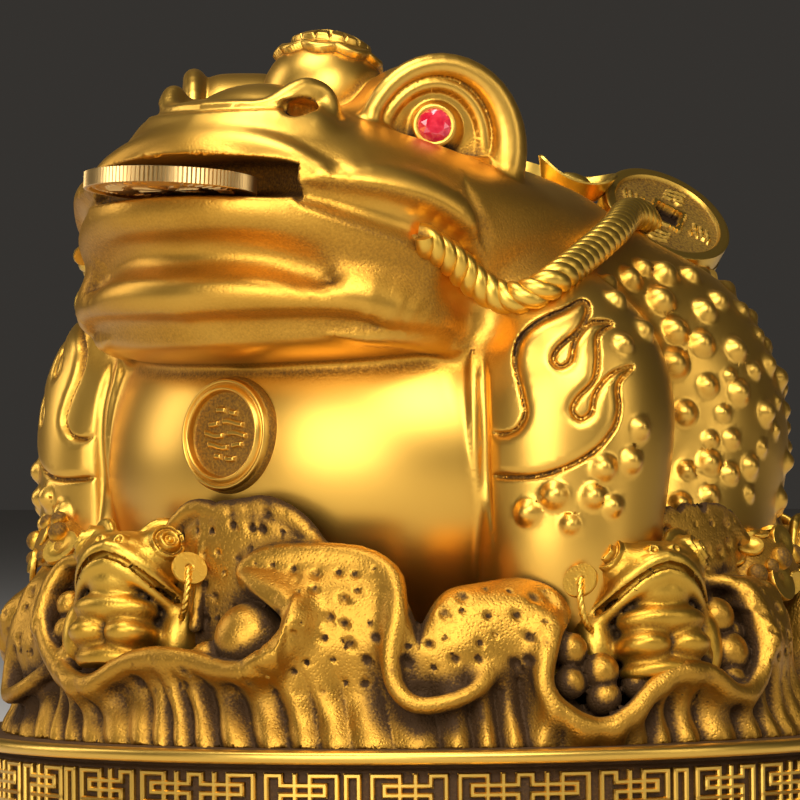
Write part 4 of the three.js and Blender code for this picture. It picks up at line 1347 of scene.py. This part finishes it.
def mound_mesh(name, mounds, rings=10, sides=36):
    """The low domes that the heaps are laid on. They are marked little open, so they show dark in the gaps
    between coins and beads: painted shade with patina.
    """
    tilts = np.linspace(0.02, 1, rings) * math.pi / 2
    reach, turn = np.meshgrid(tilts, np.linspace(0, 2 * math.pi, sides, False), indexing="ij")
    dome = np.column_stack([(np.sin(reach) * np.cos(turn)).ravel(), (np.sin(reach) * np.sin(turn)).ravel(),
                            np.cos(reach).ravel()])
    forms = []
    for azimuth, radius, foot, wide, deep, tall in mounds:
        across = around([azimuth + 90], 1, 0)[0]
        outward = around([azimuth], 1, 0)[0]
        spots = around([azimuth], radius, foot)[0] + dome[:, :1] * wide * across
        spots = spots + dome[:, 1:2] * deep * outward
        spots = spots + dome[:, 2:] * tall * np.array((0, 0, 1))
        forms.append((spots, band(rings, sides, rising=False), np.full(len(spots), 0.3)))
    spots, triangles, marks = merged(forms)
    return placed_mesh(name, spots, triangles, marks={"open": marks})


heap_tree = Growth("treasure_heap", {"Coin": "NodeSocketObject", "Bead radius": "NodeSocketFloat",
                                     "Spacing": "NodeSocketFloat", "Seed": "NodeSocketInt"})
heap_points = heap_tree.node("GeometryNodeDistributePointsOnFaces", {"distribute_method": "POISSON"}, {
    "Mesh": heap_tree.given("Base"), "Distance Min": heap_tree.given("Spacing"), "Density Max": 120000.0,
    "Seed": heap_tree.given("Seed")}, "Points")
heap_turn = heap_points.beside("Rotation")
tilt = heap_tree.node("FunctionNodeRandomValue", {"data_type": "FLOAT_VECTOR"},
                      {0: (-0.5, -0.5, 0.0), 1: (0.5, 0.5, 6.2), "Seed": heap_tree.given("Seed")}, 0)
tilted = heap_tree.node("FunctionNodeRotateRotation", {"rotation_space": "LOCAL"}, {0: heap_turn, 1: tilt})
size = heap_tree.node("FunctionNodeRandomValue", {"data_type": "FLOAT"}, {2: 0.6, 3: 1.25, "Seed": 5}, 1)
chance = heap_tree.node("FunctionNodeRandomValue", {"data_type": "FLOAT"}, {2: 0.0, 3: 1.0, "Seed": 9}, 1)
is_coin = heap_tree.node("FunctionNodeCompare", {"data_type": "FLOAT", "operation": "LESS_THAN"},
                         {0: chance, 1: 0.55})
is_bead = heap_tree.node("FunctionNodeBooleanMath", {"operation": "NOT"}, {0: is_coin})
coin_copy = heap_tree.node("GeometryNodeObjectInfo", {}, {"Object": heap_tree.given("Coin")}, "Geometry")
coins_laid = heap_tree.node("GeometryNodeInstanceOnPoints", {}, {
    "Points": heap_points, "Selection": is_coin, "Instance": coin_copy, "Rotation": tilted, "Scale": size})
bead = heap_tree.node("GeometryNodeMeshIcoSphere", {}, {
    "Radius": heap_tree.given("Bead radius"), "Subdivisions": 3})
# Each bead is marked less open toward its underside: painted shade under the bead.
bead_place = heap_tree.node("GeometryNodeInputPosition", {}, {})
bead_height = heap_tree.node("ShaderNodeSeparateXYZ", {}, {0: bead_place}, "Z")
bead_underside_shade = heap_tree.node("ShaderNodeMapRange", {}, {
    "Value": bead_height, "From Min": -0.0012, "From Max": 0.0006, "To Min": 0.2, "To Max": 1.0})
bead = heap_tree.node("GeometryNodeStoreNamedAttribute", {"data_type": "FLOAT"},
                      {"Geometry": bead, "Name": "open", "Value": bead_underside_shade})
bead = heap_tree.node("GeometryNodeSetShadeSmooth", {}, {0: bead})
beads_laid = heap_tree.node("GeometryNodeInstanceOnPoints", {}, {
    "Points": heap_points, "Selection": is_bead, "Instance": bead, "Rotation": heap_turn, "Scale": size})
joined = heap_tree.tree.nodes.new("GeometryNodeJoinGeometry")
for part in (heap_tree.given("Base"), coins_laid, beads_laid):
    heap_tree.tree.links.new(part.socket, joined.inputs[0])
heap_tree.close(Wire(heap_tree, joined.outputs[0]), small_brass)
for name, mounds, node, slot in (("treasure_heaps", heap_mounds, "leaf_bed", "patinated_brass"),
                                 ("back_heaps", back_mounds, "toad", "polished_brass")):
    domes = mound_mesh(name + "_domes", mounds)
    heap = heap_tree.grow(name, domes.data, {
        "Coin": heap_coin_mesh, "Bead radius": 2.3 * mm, "Spacing": 4.4 * mm, "Seed": 3})
    bpy.data.objects.remove(domes)
    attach(heap, "root")
    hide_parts(node)
bpy.data.objects.remove(heap_coin_mesh)

# The ball on the crown wears a shell cap with a wavy brim and two rings of tiles.
# The cap is cast in brass with the toad.
cap_rings = 58
cap_sides = 200
tile_rings = ((7.0, 21.0, 9), (21.0, 37.0, 16))


def cap_rise(polar_angle, turn):
    """How far the cap stands off the ball: thick tiles inside, and a rolled brim that waves."""
    brim = 52 + 5 * np.abs(np.sin(turn * 4.5 + 0.5))
    on_cap = ease(brim - polar_angle, 0.0, 1.6)
    roll = 0.75 * np.exp(-((polar_angle - brim + 5.0) / 4.2) ** 2)
    groove = -0.55 * np.exp(-((polar_angle - 38.8) / 1.5) ** 2)
    tiles = np.where(polar_angle < 6.2, 0.75, 0.0)
    for first, last, count in tile_rings:
        across = np.mod(turn * count / (2 * math.pi) + 0.31 * first, 1.0)
        half_gap = 0.055 * count / 9
        inside = (ease(polar_angle, first, first + 2.2) * ease(last - polar_angle, 0.0, 2.2)
                  * ease(across, half_gap * 0.4, half_gap) * ease(1 - across, half_gap * 0.4, half_gap))
        tiles = tiles + 0.95 * inside
    return on_cap * (1.15 + roll + groove + tiles * (polar_angle < 38)) - 0.35 * (1 - on_cap)


angles = np.linspace(0.4, 63, cap_rings)
turns = np.linspace(0, 2 * math.pi, cap_sides, endpoint=False)
angle_grid, turn_grid = np.meshgrid(angles, turns, indexing="ij")
rise = cap_rise(angle_grid, turn_grid)
reach = crown_radius + rise
tilt = np.radians(angle_grid)
points = np.column_stack([(reach * np.sin(tilt) * np.cos(turn_grid)).ravel(),
                          (reach * np.sin(tilt) * np.sin(turn_grid)).ravel(),
                          (reach * np.cos(tilt)).ravel()])
cap_lean = np.array(Matrix.Rotation(math.radians(-14), 3, "X"))
points = points @ cap_lean.T + crown_middle
triangles = np.vstack([band(cap_rings, cap_sides, rising=False), fan(len(points), 0, cap_sides)])
points = np.vstack([points, crown_middle + cap_lean @ (0, 0, crown_radius + 1.9)])
# Grooves, gaps between tiles and the brim's underside are marked less open: painted shade there, with patina.
cap_open = np.append(np.clip(0.25 + 0.42 * rise, 0.1, 1).ravel(), 1.0)
crown_cap = placed_mesh("crown_cap", points, triangles, marks={"open": cap_open})
crown_cap.data.materials.append(toad.data.materials[0])
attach(crown_cap, "root")
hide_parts("toad")

# The medallion on the belly is a dished disc with two rims and rows of short strokes.
# It is cast in brass with the toad.
medallion_radius = 12.3
medallion_middle = (0.4, -82.3, 69.3)
medallion_lean = 5.0


def medallion_relief(reach, turn):
    """Height over the disc's own plane: outer rim, step, inner rim, sunk ground and rows of strokes."""
    x, y = reach * np.cos(turn), reach * np.sin(turn)
    rise = -1.5 * ease(-reach, -0.76, -0.73)
    rise = rise + 0.75 * np.exp(-((reach - 0.79) / 0.045) ** 2) - 0.5 * np.exp(-((reach - 0.875) / 0.02) ** 2)
    rise = rise - 1.5 * ease(reach, 0.93, 1.0) ** 1.5
    ground = reach < 0.72
    for level, half in ((0.4, 0.26), (0.2, 0.42), (0.0, 0.5), (-0.2, 0.42), (-0.4, 0.26)):
        wave = level + 0.03 * np.sin(x * 9 + level * 7)
        stroke = ease(0.058 - np.abs(y - wave), 0.0, 0.03) * ease(half - np.abs(x), 0.0, 0.05)
        split = ease(np.abs(x - 0.12 * math.sin(level * 23)), 0.035, 0.06)
        rise = rise + 0.85 * stroke * split * ground
    return rise


def facing_disc(radius, relief, rings, sides, depth):
    """One face of a disc round the z axis, with a wall that goes down into what carries it."""
    radii = np.linspace(0, 1, rings) ** 0.8
    turn = np.linspace(0, 2 * math.pi, sides, endpoint=False)
    radius_grid, turn_grid = np.meshgrid(radii[1:], turn, indexing="ij")
    height = relief(radius_grid, turn_grid)
    rows = [ring(radius * r, turn, z) for r, z in zip(radii[1:], height)]
    rows.append(ring(radius * 1.03, turn, -depth))
    points = np.vstack(rows + [[(0, 0, float(height[0].mean()))]])
    triangles = np.vstack([band(len(rows), sides, rising=False), fan(len(points) - 1, 0, sides)])
    # Sunk ground and the wall going into the belly are marked less open: painted shade there, with patina.
    marks = np.concatenate([np.clip(1.0 + 0.5 * height, 0.1, 1).ravel(), np.full(sides, 0.3), [0.5]])
    return points, triangles, marks


disc = facing_disc(medallion_radius, medallion_relief, 84, 180, 4.0)
upright = np.array(Matrix.Rotation(math.radians(90 - medallion_lean), 3, "X"))
points, triangles, marks = moved((disc[0] * (1, 1.06, 1), disc[1], disc[2]), medallion_middle, upright)
medallion = placed_mesh("belly_medallion", points, triangles, marks={"open": marks})
medallion.data.materials.append(toad.data.materials[0])
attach(medallion, "root")
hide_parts("toad")

# The coin in the mouth is loose: it lies on the lower lip and can be lifted out. It is struck from paler
# brass, with a reeded edge, and with a border, beads, strokes and a rosette on its faces.
mouth_coin_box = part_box("mouth_coin")
mouth_coin_middle = [(low + high) / 2 / mm for low, high in zip(*mouth_coin_box)]
mouth_coin_middle[2] -= drum_top / mm
mouth_coin_radius = 19.2
mouth_coin_thickness = 3.7
mouth_coin_pitch = math.radians(-4.5)


def struck_relief(reach, turn):
    """A raised border, a ring of beads, a rosette of eight leaves and bands of short strokes."""
    rise = np.where(reach > 0.92, 0.0, -0.55) * np.ones_like(turn)
    beads = 0.3 * np.cos(turn * 60) * np.exp(-((reach - 0.86) / 0.03) ** 2)
    petals = 0.4 * ease(0.3 + 0.16 * np.cos(turn * 8) - reach, 0.0, 0.03) * ease(reach, 0.04, 0.09)
    strokes = 0.32 * ((np.cos(turn * 36) > 0.25) & (np.abs(reach - 0.66) < 0.09) & (np.cos(turn * 3) > -0.55))
    circle = 0.25 * np.exp(-((reach - 0.52) / 0.018) ** 2)
    return np.minimum(rise + beads + petals + strokes + circle, 0.0)


coin_brass = brass_paint(
    "coin_brass", (0.8, 0.52, 0.2, 1), (0.55, 0.32, 0.09, 1), (0.09, 0.045, 0.014, 1), 0.7, 0.32, 0.35, 0.8)
mouth_coin_form = coin_form(mouth_coin_radius, mouth_coin_thickness, struck_relief, 44, 480, 120, 0.13)
flat = np.array(Matrix.Rotation(mouth_coin_pitch, 3, "X"))
points, triangles, marks = moved(mouth_coin_form, mouth_coin_middle, flat)
mouth_coin = placed_mesh("mouth_coin_struck", points, triangles, marks={"open": marks})
mouth_coin.data.set_sharp_from_angle(angle=math.radians(40))
mouth_coin.data.materials.append(coin_brass)
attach(mouth_coin, "root")
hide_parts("mouth_coin")

# A red cut stone with a flat table is set in each eye.
# Its seat is a ring of the toad's brass, rubbed over the stone's edge to hold it.
gem_facing = np.array((0.68, -0.72, 0.1))
gem_facing /= np.linalg.norm(gem_facing)
gem_table = 2.2
stone = Paint("red_stone")
stone_fleck = stone.noise(stone.place(), 420, 2)
# A faint red emission makes the stone glow a little: a painted glow, as the stone is no lamp.
stone.shade(Base_Color=stone.mix((0.6, 0.008, 0.03, 1), (0.9, 0.06, 0.1, 1), stone_fleck.ease(0.35, 0.7)),
            Roughness=0.06, IOR=1.76, Transmission_Weight=0.35, Coat_Weight=0.6,
            Emission_Color=(0.9, 0.05, 0.12, 1), Emission_Strength=0.12)


def cut_stone(radius, table, sides=8):
    """A round stone with a flat table, a crown of kites and triangles, a girdle and a back of long facets."""
    turn = np.arange(sides) * 2 * math.pi / sides
    half = turn + math.pi / sides
    points = np.vstack([ring(table, turn, 1.7), ring((table + radius) * 0.54, half, 1.15),
                        ring(radius, turn, 0.25), ring(radius, half, 0.25),
                        ring(radius, turn, -0.1), ring(radius, half, -0.1),
                        ring(radius * 0.5, half, -1.6), [(0, 0, -3.0), (0, 0, 1.7)]])
    n = sides
    faces = []
    for k in range(n):
        after = (k + 1) % n
        before = (k - 1) % n
        faces += [(k, after, len(points) - 1)]
        faces += [(k, n + k, after)]
        faces += [(k, 2 * n + k, n + k), (k, n + before, 2 * n + k)]
        faces += [(n + k, 2 * n + k, 3 * n + k), (n + k, 3 * n + k, 2 * n + after)]
        faces += [(2 * n + k, 4 * n + k, 5 * n + k), (2 * n + k, 5 * n + k, 3 * n + k)]
        faces += [(3 * n + k, 5 * n + k, 4 * n + after), (3 * n + k, 4 * n + after, 2 * n + after)]
        faces += [(4 * n + k, 6 * n + k, 5 * n + k), (5 * n + k, 6 * n + k, 4 * n + after)]
        faces += [(4 * n + after, 6 * n + k, 6 * n + after), (6 * n + k, len(points) - 2, 6 * n + after)]
    return points, np.array(faces)


def seat_ring(radius, thick, steps=64, sides=14):
    """The seat's rubbed-over rim: a ring round the z axis."""
    turn = np.repeat(np.linspace(0, 2 * math.pi, steps, endpoint=False), sides)
    roll = np.tile(np.linspace(0, 2 * math.pi, sides, endpoint=False), steps)
    reach = radius + thick * np.cos(roll)
    points = np.column_stack([reach * np.cos(turn), reach * np.sin(turn), 0.8 * thick * np.sin(roll)])
    step, side = np.meshgrid(np.arange(steps), np.arange(sides), indexing="ij")
    a = (step * sides + side).ravel()
    b = (step * sides + (side + 1) % sides).ravel()
    c = ((step + 1) % steps * sides + side).ravel()
    d = ((step + 1) % steps * sides + (side + 1) % sides).ravel()
    return points, np.vstack([np.column_stack([a, c, d]), np.column_stack([a, d, b])])


for side_name, mirror in (("left", 1), ("right", -1)):
    eye = (eye_middle + np.array(eyeball_middle) @ eye_axes)
    facing = gem_facing * (mirror, 1, 1)
    turn = turned_to(facing, 0.2)
    middle = eye * (mirror, 1, 1) + facing * (eyeball_radius * 0.95)
    points, faces = cut_stone(gem_radius, gem_table)
    gem = placed_mesh("eye_stone_" + side_name, points @ turn.T + middle, faces)
    gem.data.polygons.foreach_set("use_smooth", np.zeros(len(faces), bool))
    gem.data.materials.append(stone.material)
    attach(gem, "root")
    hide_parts("eye_gem_" + side_name)
    points, faces = seat_ring(gem_radius + 0.35, 0.75)
    seat = placed_mesh("eye_seat_" + side_name, points @ turn.T + middle, faces,
                       marks={"open": np.ones(len(points))})
    seat.data.materials.append(toad.data.materials[0])
    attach(seat, "root")
    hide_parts("toad")

# The drum is a turned brass casting: a dark ground on top, a rounded rim, a band between two grooves, and a
# foot. The toad and the leaves rest on it. Its profile is radius, height from its top and how open it lies;
# the low openness under the rim's lip and in the grooves is painted shade, with patina.
band_ground = 106.6
fret_face = 107.85
band_middle = -12.0
bar_width = 1.15
drum_sides = 320
drum_profile = np.array([(0, 0, 0.1), (60, 0, 0.05), (98, 0, 0.0), (106, 0, 0.02), (108.6, 0, 0.1),
    (108.9, 0.0, 0.5), (109.3, 0.0, 0.9), (110.4, -0.06, 1), (111.2, -0.24, 1), (111.75, -0.62, 1),
    (111.97, -1.1, 1), (112, -1.7, 1), (111.9, -2.2, 1), (111.5, -2.65, 0.95), (110.8, -2.95, 0.8),
    (109.4, -3.1, 0.4), (107.2, -3.2, 0.1), (106.3, -3.5, 0.05), (106.0, -4.0, 0.05), (106.3, -4.4, 0.1),
    (106.6, -4.7, 0.15), (106.6, -8, 0.15), (106.6, -12, 0.15), (106.6, -16, 0.15), (106.6, -19.3, 0.15),
    (106.3, -19.6, 0.1), (105.9, -20.2, 0.05), (106.2, -20.8, 0.1), (107.8, -21.0, 0.4),
    (108.9, -21.15, 0.9), (109.3, -21.5, 1), (109.4, -22.2, 1), (109.4, -23.3, 1), (109.1, -23.9, 0.9),
    (108.4, -24.15, 0.7), (100, -24.15, 0.4), (50, -24.15, 0.4), (0, -24.15, 0.4)])
drum_brass = brass_paint(
    "drum_brass", (0.86, 0.53, 0.1, 1), (0.52, 0.25, 0.024, 1), (0.075, 0.034, 0.008, 1),
    0.8, 0.34, 0.4, 0.85)
turn = np.linspace(0, 2 * math.pi, drum_sides, endpoint=False)
rings = drum_profile[1:-1]
points = np.vstack([ring(r, turn, z) for r, z, _ in rings] + [[(0, 0, 0), (0, 0, drum_profile[-1, 1])]])
last = (len(rings) - 1) * drum_sides
triangles = np.vstack([band(len(rings), drum_sides, rising=False), fan(len(points) - 2, 0, drum_sides),
                       fan(len(points) - 1, last, drum_sides, upward=False)])
marks = np.concatenate([np.repeat(rings[:, 2], drum_sides), [0.1, 0.4]])
drum = placed_mesh("drum_casting", points, triangles, marks={"open": marks})
drum.data.set_sharp_from_angle(angle=math.radians(50))
drum.data.materials.append(drum_brass)
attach(drum, "root")
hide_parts("drum_base")

# The fret is a band of bars on a grid of seven rows, cast in brass with the drum, in nine repeats.
# A figure is a box of crossed bars between an arch and an outer hook. A bar is its start along the band, its
# low row, its end and its high row, counted from the figure's middle.
fret_row = 2.13
arch_leg = 1.57
far_leg = 1.75
post_near = 4.86
post_far = 8.26
box_side = 11.6
hook = 14.25
half_figure = ((arch_leg, 2, arch_leg, 3), (arch_leg, 0, arch_leg, 1), (arch_leg, 2, box_side, 2),
    (arch_leg, 1, box_side, 1), (arch_leg, 0, hook, 0), (post_far, 3, hook, 3), (hook, 0, hook, 3),
    (post_near, 0, post_near, 3), (post_far, 0, post_far, 3), (box_side, 1, box_side, 2),
    (0, 3, arch_leg, 3))
far_half = ((far_leg, -3, far_leg, 3), (0, 3, far_leg, 3), (0, -3, far_leg, -3))
narrow_arch = ((-1.4, -3, -1.4, 3), (1.4, -3, 1.4, 3), (-1.4, 3, 1.4, 3), (-1.4, -3, 1.4, -3))
fret_start = -2.2
# A repeat's four figures: where each has its middle, in millimetres along the band, and its two halves.
fret_figures = ((14.8, half_figure, half_figure), (33.9, far_half, half_figure), (51.6, (), narrow_arch),
                (70.2, half_figure, far_half))


def fret_bar(start, end, low, high):
    """A bar on the band with bevelled edges: start and end along the band, low and high from its middle."""
    steps = max(2, int((end - start) / 1.6) + 2)
    bevel = 0.28
    along = np.concatenate([[start], np.linspace(start + bevel, end - bevel, steps), [end]])
    rows = []
    for number, place in enumerate(along):
        at_end = number in (0, len(along) - 1)
        face = fret_face - 0.4 if at_end else fret_face
        turn = np.radians(fret_start + place / band_ground * 180 / math.pi)
        foot, shoulder = band_ground - 0.5, fret_face - 0.4
        section = ((foot, low), (shoulder, low), (face, low + bevel), (face, high - bevel), (shoulder, high),
                   (foot, high))
        rows.append([(r * math.sin(turn), -r * math.cos(turn), band_middle + z) for r, z in section])
    points = np.array(rows).reshape(-1, 3)
    faces = []
    for step in range(len(along) - 1):
        for side in range(5):
            a, b = step * 6 + side, step * 6 + side + 1
            faces += [(a, a + 6, b + 6), (a, b + 6, b)]
    last = (len(along) - 1) * 6
    faces += [(0, 1, 4), (0, 4, 5), (1, 2, 3), (1, 3, 4)]
    faces += [(last, last + 4, last + 1), (last, last + 5, last + 4), (last + 1, last + 3, last + 2),
              (last + 1, last + 4, last + 3)]
    # The bars' feet are marked little open, so they darken where they meet the ground: painted shade in the
    # corners, with patina.
    heights = np.tile((0.1, 0.6, 1.0, 1.0, 0.6, 0.1), len(along))
    return points, np.array(faces), heights


half_bar = bar_width / 2
bars = []
for middle, left, right in fret_figures:
    for way, figure in ((-1, left), (1, right)):
        for start, low, end, high in figure:
            for flip in ((1, -1) if low >= 0 else (1,)):
                first, second = sorted((middle + way * start, middle + way * end))
                bottom, top = sorted((flip * low * fret_row, flip * high * fret_row))
                bars.append(fret_bar(first - half_bar, second + half_bar, bottom - half_bar, top + half_bar))
fret_tree = Growth("fret_ring", {"Repeats": "NodeSocketInt", "Turn": "NodeSocketFloat"})
starts = fret_tree.node("GeometryNodeMeshLine", {}, {
    "Count": fret_tree.given("Repeats"), "Offset": (0, 0, 0)})
number = fret_tree.node("GeometryNodeInputIndex", {}, {})
spun = fret_tree.node("ShaderNodeCombineXYZ", {}, {"Z": number * fret_tree.given("Turn")})
repeats = fret_tree.node("GeometryNodeInstanceOnPoints", {}, {
    "Points": starts, "Instance": fret_tree.given("Base"), "Rotation": spun})
fret_tree.close(repeats, drum_brass)
points, triangles, marks = merged(bars)
one_repeat = placed_mesh("fret_repeat", points, triangles, marks={"open": marks})
fret = fret_tree.grow("fret_bars", one_repeat.data, {"Repeats": 9, "Turn": math.radians(40)})
bpy.data.objects.remove(one_repeat)
fret.data.set_sharp_from_angle(angle=math.radians(30))
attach(fret, "root")
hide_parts("drum_base")
